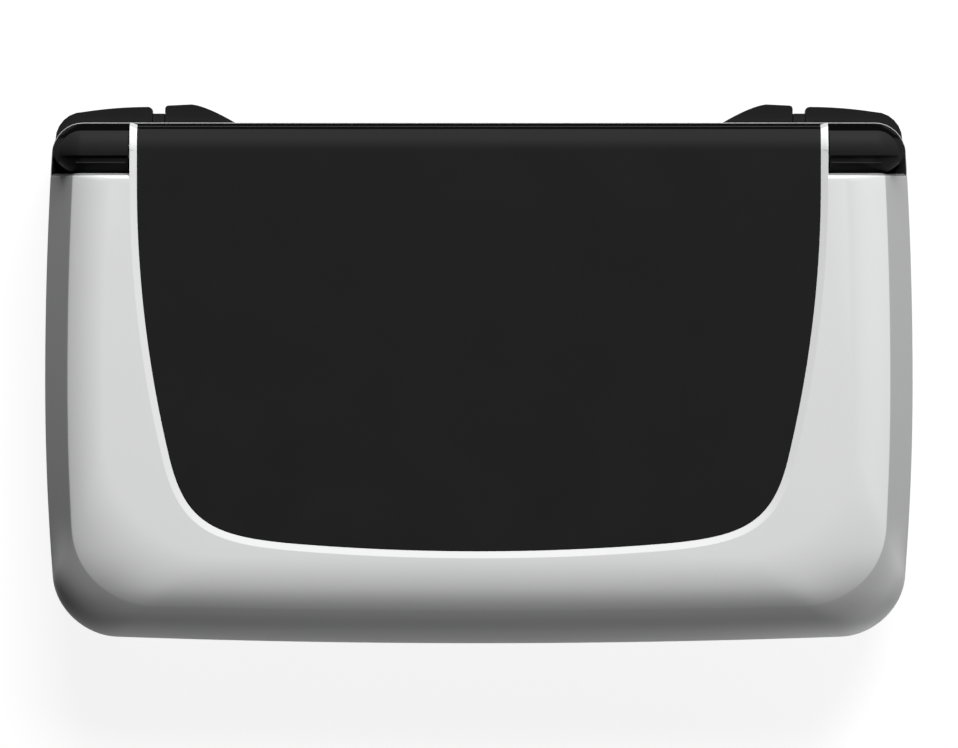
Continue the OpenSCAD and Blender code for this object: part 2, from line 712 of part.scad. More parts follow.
module lid_frame() color("lightgray") difference() {
    block([-frame_hw, -frame_front, frame_z], [frame_hw, frame_rear, frame_z + frame_t]);
    for (x = [-24, 0, 24]) translate([x, screen_y, frame_z - 1]) linear_extrude(frame_t + 2)
        rounded(frame_slot_w, frame_slot_d, 3);
    both_sides() for (p = frame_screw_places) {
        rod_z(p, frame_z - 1, frame_z + 0.5, 1.3);
        rod_z(p, frame_z - 1, frame_z + 2, 0.65);
    }
}

// Black lower half of the hinge barrel with the flange that meets the bezel.
module hinge_cover() color([0.12, 0.12, 0.13]) difference() {
    union() {
        rod_x(-panel_hw, panel_hw, axis_y, axis_z, panel_r);
        block([-panel_hw, cavity_y + mouth_gap, bezel_z], [panel_hw, axis_y - 1.8, bezel_top]);
    }
    rod_x(-panel_hw - 1, panel_hw + 1, axis_y, axis_z, panel_r - skin_w);
    block([-half_w, axis_y - 9, axis_z - 0.05], [half_w, axis_y + 9, axis_z + 9]);
}

module hinge_arm(side) color("gray") on_side(side) difference() {
    union() {
        rod_x(disc_in - arm_len - 1.4, disc_in - 0.5, axis_y, axis_z, sleeve_r);
        block([disc_in - arm_len, frame_rear - 2.5, axis_z + 0.4], [disc_in - 2, axis_y - 2.6, axis_z + 1.4]);
        block([disc_in - arm_len, frame_rear - 2.5, frame_z + frame_t],
            [disc_in - 2, frame_rear - 0.3, axis_z + 0.5]);
    }
    rod_x(disc_in - arm_len - 2, disc_in + 1, axis_y, axis_z, pin_r + fit);
}

module hinge_arm_left() hinge_arm(-1);
module hinge_arm_right() hinge_arm(1);

module display_cable() color("orange") union() {
    block([-cable_hw, cavity_y - 15.5, axis_z + cable_r - 0.2], [cable_hw, axis_y + 0.1, axis_z + cable_r]);
    difference() {
        rod_x(-cable_hw, cable_hw, axis_y, axis_z, cable_r);
        rod_x(-cable_hw - 1, cable_hw + 1, axis_y, axis_z, cable_r - 0.45);
    }
}

module speaker(side) color([0.25, 0.25, 0.25]) on_side(side) difference() {
    block([speaker_in, speaker_front, bezel_top],
        [speaker_out, speaker_front + speaker_len, bezel_top + speaker_t]);
    block([speaker_in + 0.8, speaker_front + 1, bezel_z],
        [speaker_out - 0.8, speaker_front + speaker_len - 1, bezel_top + 0.6]);
}

module speaker_left() speaker(-1);
module speaker_right() speaker(1);

module lid_magnet() color("dimgray")
    block([-magnet_hw, magnet_front, bezel_top], [magnet_hw, magnet_front + magnet_d, bezel_top + magnet_t]);

module lid_bumpers() color([0.2, 0.2, 0.2]) both_sides() for (p = lid_bumper_places)
    rod_z(p, rim_z + 0.03, lid_z, 0.7);

module lid_screws() color("dimgray") both_sides() {
    for (p = lid_screw_places) translate([p.x, p.y, bezel_z + 0.05]) screw_shape(1.5, 0.8, 0.75, 4.1);
    for (p = frame_screw_places) translate([p.x, p.y, frame_z]) screw_shape(1.2, 0.45, 0.6, 1.8);
}

// ---------- Controls on the deck ----------

// The direction pad rocks on a small disc about two crossing axes at pivot_z.
pivot_z = board_top + 0.7;
pad_disc_r = 8.6;
pivot_hw = 2.4;
pivot_pin_r = 0.35;

// Two crossing pins in a small hub, one along each axis.
module dpad_pivot() color([0.3, 0.3, 0.3]) translate([-pad_x, pad_y, pivot_z]) union() {
    rod_x(-pivot_hw, pivot_hw, 0, 0, pivot_pin_r);
    rod_y(0, -pivot_hw, pivot_hw, 0, pivot_pin_r);
    rod_z([0, 0], -0.3, 0.3, 1.4);
}

module dpad() color([0.1, 0.1, 0.11]) translate([-pad_x, pad_y, 0]) difference() {
    union() {
        translate([0, 0, deck_under - 0.9]) linear_extrude(deck_t + pad_proud + 0.9) dpad_cross(0);
        rod_z([0, 0], deck_under - 1.5, deck_under - 0.9 + eps, pad_disc_r);
    }
    translate([0, 0, deck_z + pad_proud + 9.6]) sphere(r = 10, $fn = 64);
    rod_z([0, 0], deck_under - 2, deck_under - 1.2, pivot_hw + 0.4);
}

module face_button(step) color([0.1, 0.1, 0.11])
    translate([pad_x + face_pitch * step.x, pad_y + face_pitch * step.y, 0]) {
        rod_z([0, 0], board_top + membrane_t + face_travel + 0.1, deck_under - 0.1, face_r + 0.9);
        rod_z([0, 0], deck_under - 0.2, deck_z + face_proud - 0.3, face_r);
        intersection() {
            translate([0, 0, deck_z + face_proud - dome_r]) sphere(r = dome_r, $fn = 96);
            rod_z([0, 0], deck_z, deck_z + face_proud + 0.1, face_r);
        }
    }

module button_north() face_button([0, 1]);
module button_east() face_button([1, 0]);
module button_south() face_button([0, -1]);
module button_west() face_button([-1, 0]);

// Small pill buttons in the middle of the deck.
module menu_button(i) color([0.16, 0.16, 0.17]) translate([menu_places[i], menu_y, 0]) {
    translate([0, 0, board_top + membrane_t + menu_travel + 0.2]) linear_extrude(0.9)
        pill(menu_w + 1.3, menu_h + 1.3);
    translate([0, 0, deck_under - 0.9]) linear_extrude(deck_t + menu_proud + 0.9) pill(menu_w, menu_h);
}

module select_button() menu_button(0);
module home_button() menu_button(1);
module start_button() menu_button(2);

// ---------- Rear controls ----------

module power_button() color([0.2, 0.2, 0.2])
    rear_facing([rear_button_x, rear_y + 0.3, rear_button_z], 2.6) pill(power_w, power_h);

// The rocker turns on the round rib at the middle of its back.
module volume_rocker() color([0.2, 0.2, 0.2]) union() {
    rear_facing([-rear_button_x, rear_y + 0.3, rear_button_z], 1.5) pill(volume_w, volume_h);
    rod_z([-rear_button_x, rocker_y], rear_button_z - 1.5, rear_button_z + 1.5, 0.9);
}

// Outer shoulder button, which wraps the rear corner of the case.
module bumper(side) color([0.12, 0.12, 0.13]) on_side(side) difference() {
    union() {
        translate([0, 0, shoulder_lo]) linear_extrude(shoulder_hi - shoulder_lo) polygon(bumper_plan());
        rod_z(bumper_pin, shoulder_lo, shoulder_hi, 1.9);
    }
    rod_z(bumper_pin, shoulder_lo - 1, shoulder_hi + 1, shoulder_pin_r + fit);
}

bumper_in = half_w - 19.1;
bumper_top = front_y - 0.45;
bumper_corner_r = 5;
bumper_corner = [half_w - 6.8, bumper_top - 0.9 - bumper_corner_r];
function bumper_plan() = concat(
    [[bumper_in, bumper_pin.y + 0.6], [bumper_in, bumper_top - 0.7]],
    [for (i = [0:3]) [bumper_in + 0.7 - 0.7 * cos(30 * i), bumper_top - 0.7 + 0.7 * sin(30 * i)]],
    [for (i = [1:6]) let (u = i / 6)
        [bumper_in + 0.7 + (bumper_corner.x - bumper_in - 0.7) * u, bumper_top - 0.9 * u * u]],
    [for (i = [1:6]) bumper_corner + bumper_corner_r * [sin(15 * i), cos(15 * i)]],
    [[bumper_corner.x + bumper_corner_r, bumper_pin.y + 0.8],
        [half_w - 4.3, bumper_pin.y + 0.6]]);

module bumper_left() bumper(-1);
module bumper_right() bumper(1);

// Inner shoulder button with its crest near the bridge and a curved inner end.
module trigger(side) color([0.12, 0.12, 0.13]) on_side(side) difference() {
    union() {
        translate([0, 0, shoulder_lo]) linear_extrude(shoulder_hi - shoulder_lo) polygon(trigger_plan());
        rod_z(trigger_pin, shoulder_lo, shoulder_hi, 1.6);
    }
    rod_z(trigger_pin, shoulder_lo - 1, shoulder_hi + 1, shoulder_pin_r + fit);
}

trigger_out = half_w - 21.4;
trigger_crest = half_w - 26.2;
trigger_in = half_w - 33.9;
function trigger_plan() = concat(
    [[trigger_in, trigger_pin.y + 0.9]],
    [for (i = [7:-1:0]) let (u = i / 7) [trigger_crest - (trigger_crest - trigger_in) * u,
        front_y - 3.25 * pow(u, 1.4)]],
    [for (i = [0:3]) [trigger_out - 0.6 + 0.6 * sin(30 * i), front_y - 0.8 + 0.6 * cos(30 * i)]],
    [[trigger_out, trigger_pin.y + 0.9]]);

module trigger_left() trigger(-1);
module trigger_right() trigger(1);

// ---------- Sticks ----------

module at_stick(side) {
    translate([side * stick_x, stick_y, stick_z]) children();
}

module stick_housing(side) color("dimgray") at_stick(side) difference() {
    block([-housing_hw, -housing_hw, -housing_down], [housing_hw, housing_hw, housing_up]);
    inner = housing_hw - 1.2;
    block([-inner, -inner, 1 - housing_down], [inner, inner, housing_up + 1]);
    rod_x(-housing_hw - 1, housing_hw + 1, 0, 0, yoke_pin_r + fit);
}

module stick_yoke(side) color([0.25, 0.25, 0.25]) at_stick(side) difference() {
    union() {
        block([-yoke_hw, -3.9, -0.9], [yoke_hw, 3.9, 0.9]);
        rod_x(0.1 - housing_hw, housing_hw - 0.1, 0, 0, yoke_pin_r);
    }
    block([2 - yoke_hw, -2.9, -2], [yoke_hw - 2, 2.9, 2]);
    rod_y(0, -5, 5, 0, shaft_pin_r + fit);
}

module stick_shaft(side) color("gainsboro") at_stick(side) union() {
    block([-2, -2.4, -1], [2, 2.4, 1]);
    rod_y(0, -3.8, 3.8, 0, shaft_pin_r);
    rod_z([0, 0], 0, cap_z - 0.4, shaft_r);
}

module stick_cap(side) color([0.09, 0.09, 0.1]) at_stick(side) difference() {
    union() {
        intersection() {
            sphere(r = 3.9, $fn = 48);
            block([-5, -5, 2.2], [5, 5, 5]);
        }
        rod_z([0, 0], 3, cap_z + 0.3, neck_r);
        rod_z([0, 0], cap_z, cap_z + cap_edge, stick_r);
        intersection() {
            translate([0, 0, cap_z + cap_edge + cap_crown - dome_r]) sphere(r = dome_r, $fn = 96);
            rod_z([0, 0], cap_z + cap_edge - 0.2, cap_z + cap_edge + 0.8, stick_r - 0.6);
        }
    }
    rod_z([0, 0], 0, cap_z + 0.1, shaft_r + fit);
    difference() {
        sphere(r = 3.2, $fn = 48);
        block([-5, -5, 3], [5, 5, 5]);
    }
}

module stick_housing_left() stick_housing(-1);
module stick_housing_right() stick_housing(1);
module stick_yoke_left() stick_yoke(-1);
module stick_yoke_right() stick_yoke(1);
module stick_shaft_left() stick_shaft(-1);
module stick_shaft_right() stick_shaft(1);
module stick_cap_left() stick_cap(-1);
module stick_cap_right() stick_cap(1);

base_shell();
deck();
rear_frame();
knuckle_left();
knuckle_right();
hinge_pin_left();
hinge_pin_right();
main_board();
heat_spreader();
battery();
button_membranes();
status_lights();
usb_port();
video_port();
headphone_jack();
card_slot();
shoulder_pins();
shoulder_switches();
base_screws();
board_screws();
rubber_feet();
lid_shell();
lid_panel();
lid_bezel();
screen_glass();
display_panel();
lid_frame();
hinge_cover();
hinge_arm_left();
hinge_arm_right();
display_cable();
speaker_left();
speaker_right();
lid_magnet();
lid_bumpers();
lid_screws();
dpad_pivot();
dpad();
button_north();
button_east();
button_south();
button_west();
select_button();
home_button();
start_button();
power_button();
volume_rocker();
bumper_left();
bumper_right();
trigger_left();
trigger_right();
stick_housing_left();
stick_yoke_left();
stick_shaft_left();
stick_cap_left();
stick_housing_right();
stick_yoke_right();
stick_shaft_right();
stick_cap_right();
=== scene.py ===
"""A closed clamshell handheld console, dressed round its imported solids."""
import json
import math

import bmesh
import bpy
from mathutils import Matrix, Vector

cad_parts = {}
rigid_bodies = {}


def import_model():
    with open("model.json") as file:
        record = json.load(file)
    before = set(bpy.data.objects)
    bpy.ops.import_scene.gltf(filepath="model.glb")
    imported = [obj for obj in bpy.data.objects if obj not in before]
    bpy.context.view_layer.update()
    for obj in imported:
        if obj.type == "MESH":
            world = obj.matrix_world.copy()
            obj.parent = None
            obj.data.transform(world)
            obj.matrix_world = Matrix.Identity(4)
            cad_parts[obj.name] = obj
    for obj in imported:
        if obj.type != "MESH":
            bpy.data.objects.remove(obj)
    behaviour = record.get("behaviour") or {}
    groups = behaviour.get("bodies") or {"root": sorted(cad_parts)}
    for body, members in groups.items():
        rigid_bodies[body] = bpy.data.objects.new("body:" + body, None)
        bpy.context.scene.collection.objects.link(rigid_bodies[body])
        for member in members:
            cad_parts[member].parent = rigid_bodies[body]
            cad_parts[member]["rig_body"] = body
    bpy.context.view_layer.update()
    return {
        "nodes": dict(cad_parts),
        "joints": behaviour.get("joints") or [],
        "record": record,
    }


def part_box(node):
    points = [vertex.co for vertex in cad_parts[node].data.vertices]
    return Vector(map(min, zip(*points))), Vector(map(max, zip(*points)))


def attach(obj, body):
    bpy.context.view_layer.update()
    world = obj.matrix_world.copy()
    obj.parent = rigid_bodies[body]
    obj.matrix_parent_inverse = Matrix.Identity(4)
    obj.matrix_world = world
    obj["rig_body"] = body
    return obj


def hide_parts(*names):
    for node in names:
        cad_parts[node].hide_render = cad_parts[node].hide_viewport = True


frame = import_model()

# ---------- Sizes, in millimetres ----------

MM = 0.001


def span(node):
    """Lowest and highest corner of a CAD node, in millimetres."""
    low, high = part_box(node)
    return low / MM, high / MM


lid_low, lid_high = span("lid_shell")
base_low, base_high = span("base_shell")
panel_low, panel_high = span("lid_panel")
bezel_low, bezel_high = span("lid_bezel")
deck_z = span("deck")[1].z
hinge = next(joint for joint in frame["joints"] if joint["name"] == "lid_hinge")

half_w = base_high.x
front_y = -lid_low.y
rear_y = base_high.y
lid_z, case_h = lid_low.z, lid_high.z
foot_h, rim_z = base_low.z, base_high.z
axis_y, axis_z = hinge["pos_m"][1] / MM, hinge["pos_m"][2] / MM
wall = 1.4
skin_t = 0.9

# Allowances: welds between points, overlaps of joined solids, and how far cutters reach past a face.
weld = 0.0005
near = 0.001
overlap = 0.05
past = 1
far = 5

# Plan of the case: a rounded rectangle whose sides and front bow outwards.
widest_y = -1.5
bow_r_rear = 690
bow_r_front = 460
front_bow = 1.58
front_corner_r = 10.8
rear_corner_r = 5.3
front_steps, front_corner_steps, side_steps, rear_corner_steps, rear_steps = 14, 20, 26, 8, 8

# Lid section.
wall_z = lid_z + 0.8
wall_lean = 0.1
wall_in = 0.25
crease_z = case_h - 2.4
crease_in = 4.2
roll_w = 6.7
roll_z = lid_z + 0.6
front_roll = 15.7
front_powers = (1.6, 2.1)
soft_side = crease_in + roll_w
soft_power = 2
fade_rear, fade_front = -27, -38
lid_spread = 0.6
neck_y = axis_y - 4.05
neck_roll, neck_drop = 1.1, 2.4
neck_corner_r = 0.8
flush = 0.004
cavity_y = axis_y - 6.25
cavity_r, cavity_rear_r = front_corner_r - 1, 1
cavity_spread = 0.5
roof_z = case_h - 2.3
mouth_z = bezel_high.z + 0.2
lid_mouth, lid_mouth_front = 2.5, 2.6
slope_look = 1

# Hinge barrel on the lid, with its end discs and their arms.
barrel_r = case_h - axis_z
panel_hw = panel_high.x
panel_r = panel_high.z - axis_z
panel_front = -panel_low.y
panel_gap = 0.06
panel_drop = case_h - panel_high.z
rim_w = 1.3
disc_in = panel_hw + panel_gap
disc_out = disc_in + rim_w
disc_land = 0.25
arm_front, arm_rear, arm_drop = cavity_y - 2, axis_y - 3.5, 3

# Fixed knuckles, and the room that the lid leaves them.
knuckle_x = disc_out + 0.3
knuckle_r = barrel_r - 0.15
knuckle_round = half_w - 6.8
knuckle_tip = half_w - 1.4
knuckle_end = half_w - 1.7
foot_reach = 2.85
end_power = 1.25
tip_step, tip_count = math.radians(6), 15
collar_r, collar_gap = 4.3, 0.12
step_y, step_depth = axis_y - 0.9, 0.4
bead_r, bead_y, bead_z = 0.17, axis_y - 2.2, axis_z + 3.85
bead_start, bead_end = knuckle_x + 0.4, knuckle_round + 1
lip_band, ledge_band = (0.95, 1.6), (-2, 1)
lip_band_z, ledge_band_z = axis_z - 0.5, axis_z - 1.5
band_y = axis_y - 3.2
pin_r, pin_room, pin_short = 2, 2.05, 2.5
hinge_room = 0.2
room_y, room_reach = axis_y - 3.3, 8
barrel_reach = 9

# Outline of the inlay, its bed in the lid, and the seams round the barrel.
panel_side_r = 203
panel_front_r = 400
corner_y = 16.16 - panel_front
corner_x = panel_hw - 28.79
corner_pull_front = (14.9, 1.2)
corner_pull_side = (2.85, 11.4)
panel_front_steps, panel_corner_steps, panel_side_steps = 12, 32, 28
bed_y, slot_y = axis_y + near, cavity_y - 0.2
slope_foot, slope_out, slope_rise = 0.02, 0.3, 0.5
seam_angle, shell_end = math.radians(52.5), math.radians(270)
lip_start, lip_end = math.radians(65), math.radians(69.5)
groove_r = panel_r - 0.45
lip_root = 0.1
flange_front, flange_rear = cavity_y + 0.1, axis_y - 1.8

# Base section; each belly has its inset at the foot and the power of its curve.
belly_side, belly_front, belly_rear = (9, 2.6), (12, 2.4), (5, 3)
base_spread = 0.4
base_mouth = 2
floor_z = foot_h + wall
deck_t = 1.4
deck_low_z = deck_z - deck_t
board_z = deck_low_z - 3.5
board_top = board_z + 1
shoulder_lo, shoulder_hi = foot_h + 4.2, rim_z - 1.7
shoulder_gap = 0.3
bumper_pin_x, trigger_pin_x, pin_y = half_w - 17.1, half_w - 23.4, rear_y - 4.25
bay_in, bay_front, bay_rear = half_w - 34.7, rear_y - 5.65, 50
frame_lip_in, frame_lip_h, frame_lip_y = 0.13, 0.2, axis_y - 5.2
front_off = 20
control_in = 0.06

# Posts in the base, with the wells and holes of their screws and pins.
stick_low, stick_high = span("stick_cap_right")
stick_place = (stick_low + stick_high) / 2
housing_low = span("stick_housing_right")[0].z
screw_places = [(half_w - 15.5, 18.15 - front_y), (half_w - 27.5, 30.7), (20, 15.15 - front_y)]
board_screw_places = [(38, 35.7), (half_w - 11.5, -1)]
post_r, board_post_r, pin_post_r, stick_post_r = 2.6, 2.2, 1.9, 1.6
stick_post_x = 4
well_r, well_depth = 2, 1.6
screw_hole_r, board_hole_r, board_hole_depth = 0.9, 0.7, 3
pin_hole_r, pin_hole_depth = 0.8, 1.6

# Windows in the base: place on X, width and height; the card slot's low and high corner; the vents.
charge_window, video_window = (0, 9.2, 3.3), (-15, 7.8, 3.1)
power_window, volume_window = (32, 6.6, 3.2), (-32, 12.7, 3.8)
jack_x, jack_drop, jack_r = 14, 0.1, 2.56
switch_z = rim_z - 5.3
window_depth = 4
card_low = (-39.7, -front_y - past, floor_z + 3.1)
card_high = (-28.3, 8.4 - front_y, floor_z + 4.5)
vent_w, vent_l, vent_y, vent_pitch, vent_side = 1.6, 14, 28.7, 5, 3

# Thumb stick: ribs round the rim under the crown, and the waist below them.
crown_h = 0.7
tread_inner, tread_outer, tread_low, tread_high = 5.6, 7, 0.95, 0.1
rib_r, rib_h, rib_count, rib_steps = 5.9, 0.09, 48, 288
rib_levels = ((0.97, 0.9), (1, 0.75), (1, 0.25), (0.96, 0.05))
bore_r, bore_top = 1.7, 0.72
waist_inner, waist_outer, waist_low, waist_high = 2.03, 2.7, 4.4, 2

# Where the painted shade on the silver paint begins and ends, and how deep it is.
crease_fade = crease_z - 0.03, crease_z + 0.05
band_fade = -44, -30
corner_fade_x, corner_fade_y, corner_fade_z = (57, 68), (-40, -30), (crease_z - 3, crease_z)
turn_fade_rear, turn_fade_front = (-41.5, -37.5), (-46.5, -43.5)
skirt_fade_y, skirt_fade_z = (-46, -42), (lid_z + 0.6, lid_z + 2.6)
rim_fade_y, rim_fade_z = (neck_y, neck_y + 0.5), (rim_z - 0.35, rim_z - 0.25)
neck_fade_x, neck_fade_y = (disc_out, disc_out + 0.1), (neck_y - 0.5, neck_y - 0.35)
neck_fade_z = rim_z + 0.1, lid_z
band_shade, corner_shade, turn_shade, skirt_shade, rim_shade, neck_shade = 0.34, 0.2, 0.17, 0.2, 0.5, 0.72

# The same for the painted highlight and painted shade on the hinge's black, and for the painted shade in
# the dark gap behind it.
step_fade, round_fade = (step_y - 0.1, step_y + 0.1), (knuckle_round - 1, knuckle_round + 1)
low_fade_y, low_fade_z = (axis_y + 2, axis_y + 2.5), (axis_z - 0.45, axis_z - 0.2)
gap_fade_front = axis_y + 4.4, axis_y + 4.45
gap_fade_rear = rear_y - 0.12, rear_y - 0.07
# Strength of the painted highlight on the knuckles' front, and depth of the painted shade low at the rear
# and in the gap.
front_painted_light, low_shade, gap_shade = 1.9, 0.15, 0.95

# Mix node: its factor, its two colours, and the colour it gives.
MIX_FACTOR, MIX_FIRST, MIX_SECOND, MIX_RESULT = 0, 6, 7, 2


# ---------- Plan and section functions ----------

def arc(centre, radius, start, end, steps):
    """Points on an arc from start to end, in degrees."""
    turn = [math.radians(start + (end - start) * i / steps) for i in range(steps + 1)]
    return [(centre[0] + radius * math.cos(t), centre[1] + radius * math.sin(t)) for t in turn]


def line(start, end, steps):
    """Points along a line, both ends left out."""
    return [(start[0] + (end[0] - start[0]) * i / steps, start[1] + (end[1] - start[1]) * i / steps)
            for i in range(1, steps)]


def both_halves(half):
    """Closes a right half, which starts and ends on the middle line, with its mirror image."""
    return half + [(-x, y) for x, y in reversed(half) if x > near]


def bow(x, y):
    """Bows a point of a plain rounded rectangle into the plan of the case."""
    radius = bow_r_rear if y > widest_y else bow_r_front
    bulge = (y - widest_y) ** 2 / (2 * radius) / half_w
    lift = front_bow * (x / half_w) ** 2 * (y / front_y) ** 2 if y < 0 else 0
    return x * (1 - bulge), y + lift


def plan(side_in, front_in, rear, front_r, rear_r):
    """Outline of the case with its side and front pulled in and its rear edge at a depth."""
    side, front = half_w - side_in, front_y - front_in
    start = (side - front_r, -front)
    middle = (side, front_r - front), (side, rear - rear_r)
    end = (side - rear_r, rear)
    half = [(0, -front)] + line((0, -front), start, front_steps)
    half += arc((start[0], middle[0][1]), front_r, -90, 0, front_corner_steps)
    half += line(*middle, side_steps)
    half += arc((end[0], middle[1][1]), rear_r, 0, 90, rear_corner_steps)
    half += line(end, (0, rear), rear_steps) + [(0, rear)]
    return both_halves([bow(x, y) for x, y in half])


def roll(t, power, other=None):
    """Quarter of a superellipse, 0 at the start of the roll and 1 at its end."""
    return 1 - (1 - min(1, max(0, t)) ** power) ** (1 / (other or power))


def lid_side_in(z):
    """Inset of the lid's side at a height: a wall, a sloping band and a soft roll."""
    if z < wall_z:
        return wall_lean * (z - lid_z)
    if z < crease_z:
        return wall_in + (z - wall_z) / (crease_z - wall_z) * (crease_in - wall_in)
    return crease_in + roll_w * (1 - math.sqrt(max(0, 1 - (z - crease_z) / (case_h - crease_z))))


def lid_rise(z):
    """How far a height has come up the lid's rolled front and corners, from 0 to 1."""
    return (z - roll_z) / (case_h - roll_z)


def lid_front_in(z):
    """Inset of the lid's front at a height."""
    return front_roll * roll(lid_rise(z), *front_powers)


def lid_ring(z):
    """Outline of the lid at a height; towards the front its creased side turns into a soft roll."""
    front_in = lid_front_in(z)
    t = max(0, z - case_h + neck_drop) / neck_drop
    rear = neck_y - neck_roll * (1 - math.sqrt(1 - min(1, t) ** 2))
    corner_r = front_corner_r + lid_spread * front_in
    creased = plan(lid_side_in(z), front_in, rear, corner_r, neck_corner_r)
    soft_in = soft_side * roll(lid_rise(z), soft_power)
    soft = plan(soft_in, front_in, rear, corner_r, neck_corner_r)
    outline = []
    for hard, mild in zip(creased, soft):
        t = min(1, max(0, (fade_rear - hard[1]) / (fade_rear - fade_front)))
        weight = t * t * (3 - 2 * t)
        outline.append(tuple(a + (b - a) * weight for a, b in zip(hard, mild)))
    return at_height(outline, z)


def cavity_ring(z):
    """Outline of the lid's cavity, a wall inside the lid as it is a little higher up."""
    side = lid_mouth if z < mouth_z else lid_side_in(z + slope_look) + wall
    front = max(lid_mouth_front, lid_front_in(z + slope_look) + wall)
    corner_r = cavity_r + cavity_spread * lid_front_in(z)
    return at_height(plan(side, front, cavity_y, corner_r, cavity_rear_r), z)


def base_insets(z):
    """Insets of the base's side, front and rear at a height."""
    t = (rim_z - z) / (rim_z - foot_h)
    return [inset * roll(t, power) for inset, power in (belly_side, belly_front, belly_rear)]


def base_ring(z):
    """Outline of the base at a height."""
    side, front, rear = base_insets(z)
    corner_r, rear_r = front_corner_r + base_spread * front, rear_corner_r + base_spread * rear
    return at_height(plan(side, front, rear_y - rear, corner_r, rear_r), z)


def base_cavity_ring(z):
    """Outline of the base's cavity, a wall inside the base as it is a little lower down."""
    side, front, rear = base_insets(z - slope_look)
    side, front, rear = max(base_mouth, side + wall), max(base_mouth, front + wall), rear + wall
    corner_r = front_corner_r - base_mouth + base_spread * front
    rear_r = rear_corner_r - wall + base_spread * rear
    return at_height(plan(side, front, rear_y - rear, corner_r, rear_r), z)


def rear_plan(inset):
    """The case's outline with its sides and rear pulled in, and its front out of the way."""
    return plan(inset, front_off, rear_y - inset, front_corner_r, max(0.5, rear_corner_r - inset))


def at_height(outline, z):
    """An outline's points at a height."""
    return [(x, y, z) for x, y in outline]


def bezier(points, t):
    """Point on a cubic curve between the first and the last of four points."""
    weights = ((1 - t) ** 3, 3 * t * (1 - t) ** 2, 3 * t * t * (1 - t), t ** 3)
    return tuple(sum(w * p[k] for w, p in zip(weights, points)) for k in (0, 1))


def panel_half():
    """Right half of the inlay's outline, from the front middle to the straight part by the hinge."""
    def side_x(y):
        return panel_hw - max(0, cavity_y - y) ** 2 / (2 * panel_side_r)

    def front(x):
        return x * x / (2 * panel_front_r) - panel_front

    start, end = (corner_x, front(corner_x)), (side_x(corner_y), corner_y)
    handles = [start, (start[0] + corner_pull_front[0], start[1] + corner_pull_front[1]),
               (end[0] - corner_pull_side[0], end[1] - corner_pull_side[1]), end]
    places = [corner_x * i / panel_front_steps for i in range(panel_front_steps)]
    half = [(x, front(x)) for x in places]
    half += [bezier(handles, i / panel_corner_steps) for i in range(panel_corner_steps + 1)]
    shares = [i / panel_side_steps for i in range(1, panel_side_steps + 1)]
    depths = [corner_y + (cavity_y - corner_y) * share for share in shares]
    return half + [(side_x(y), y) for y in depths]


def panel_plan(grow, rear):
    """The inlay's outline, grown along its own normals and carried straight back to a depth."""
    half = [Vector(p) for p in panel_half()]
    moved = [half[0] - Vector((0, grow))]
    for before, here, after in zip(half, half[1:], half[2:] + half[-1:]):
        along = (after - before).normalized()
        moved.append(here + grow * Vector((along.y, -along.x)))
    return both_halves([tuple(p) for p in moved] + [(panel_hw + grow, rear)])


# ---------- Modelling helpers ----------

def add_object(name, data):
    """Puts an object that shows this data into the scene."""
    made = bpy.data.objects.new(name, data)
    bpy.context.scene.collection.objects.link(made)
    return made


def mesh_object(bm, name="solid"):
    """Turns a bmesh into an object."""
    mesh = bpy.data.meshes.new(name)
    bm.to_mesh(mesh)
    bm.free()
    return add_object(name, mesh)


def keep(bm):
    """Turns a bmesh into a loose solid with its faces outwards, still in millimetres."""
    bmesh.ops.recalc_face_normals(bm, faces=bm.faces)
    return mesh_object(bm)


def loft(rings):
    """Closed solid through a stack of outlines: a capped circle takes the first, extrusions the rest."""
    bm = bmesh.new()
    count = len(rings[0])
    ring = bmesh.ops.create_circle(bm, cap_ends=True, segments=count, radius=1)["verts"]
    for vert, place in zip(ring, rings[0]):
        vert.co = place
    for places in rings[1:]:
        edges = [bm.edges.get((a, b)) for a, b in zip(ring, ring[1:] + ring[:1])]
        made = set(v for v in bmesh.ops.extrude_edge_only(bm, edges=edges)["geom"]
                   if isinstance(v, bmesh.types.BMVert))
        ring = [next(e.other_vert(v) for e in v.link_edges if e.other_vert(v) in made) for v in ring]
        for vert, place in zip(ring, places):
            vert.co = place
    bmesh.ops.contextual_create(bm, geom=[bm.edges.get((a, b)) for a, b in zip(ring, ring[1:] + ring[:1])])
    return bm


def bevel_rings(bm, rings):
    """Bevels level edge loops, each given by its height, its width and its segments."""
    for height, width, segments in rings:
        ring = [e for e in bm.edges if all(abs(v.co.z - height) < near for v in e.verts)]
        bmesh.ops.bevel(bm, geom=ring, offset=width, segments=segments, profile=0.5, material=-1,
                        affect="EDGES", clamp_overlap=True)


def prism(outline, low, high):
    """Solid between two heights of one outline."""
    return keep(loft([at_height(outline, low), at_height(outline, high)]))


def block(low, high):
    """Box between two corners."""
    bm = bmesh.new()
    low, high = Vector(low), Vector(high)
    bmesh.ops.create_cube(bm, size=1)
    bmesh.ops.scale(bm, vec=high - low, verts=bm.verts)
    bmesh.ops.translate(bm, vec=(high + low) / 2, verts=bm.verts)
    return keep(bm)


def rod(axis, start, end, centre, radius, segments=64):
    """Cylinder along X, Y or Z between two places on that axis."""
    bm = bmesh.new()
    bmesh.ops.create_cone(bm, cap_ends=True, segments=segments, radius1=radius, radius2=radius,
                          depth=end - start)
    turn = {"X": Matrix.Rotation(math.pi / 2, 3, "Y"), "Y": Matrix.Rotation(-math.pi / 2, 3, "X"),
            "Z": Matrix.Identity(3)}[axis]
    bmesh.ops.rotate(bm, matrix=turn, verts=bm.verts)
    middle = list(centre)
    middle.insert("XYZ".index(axis), (start + end) / 2)
    bmesh.ops.translate(bm, vec=middle, verts=bm.verts)
    return keep(bm)


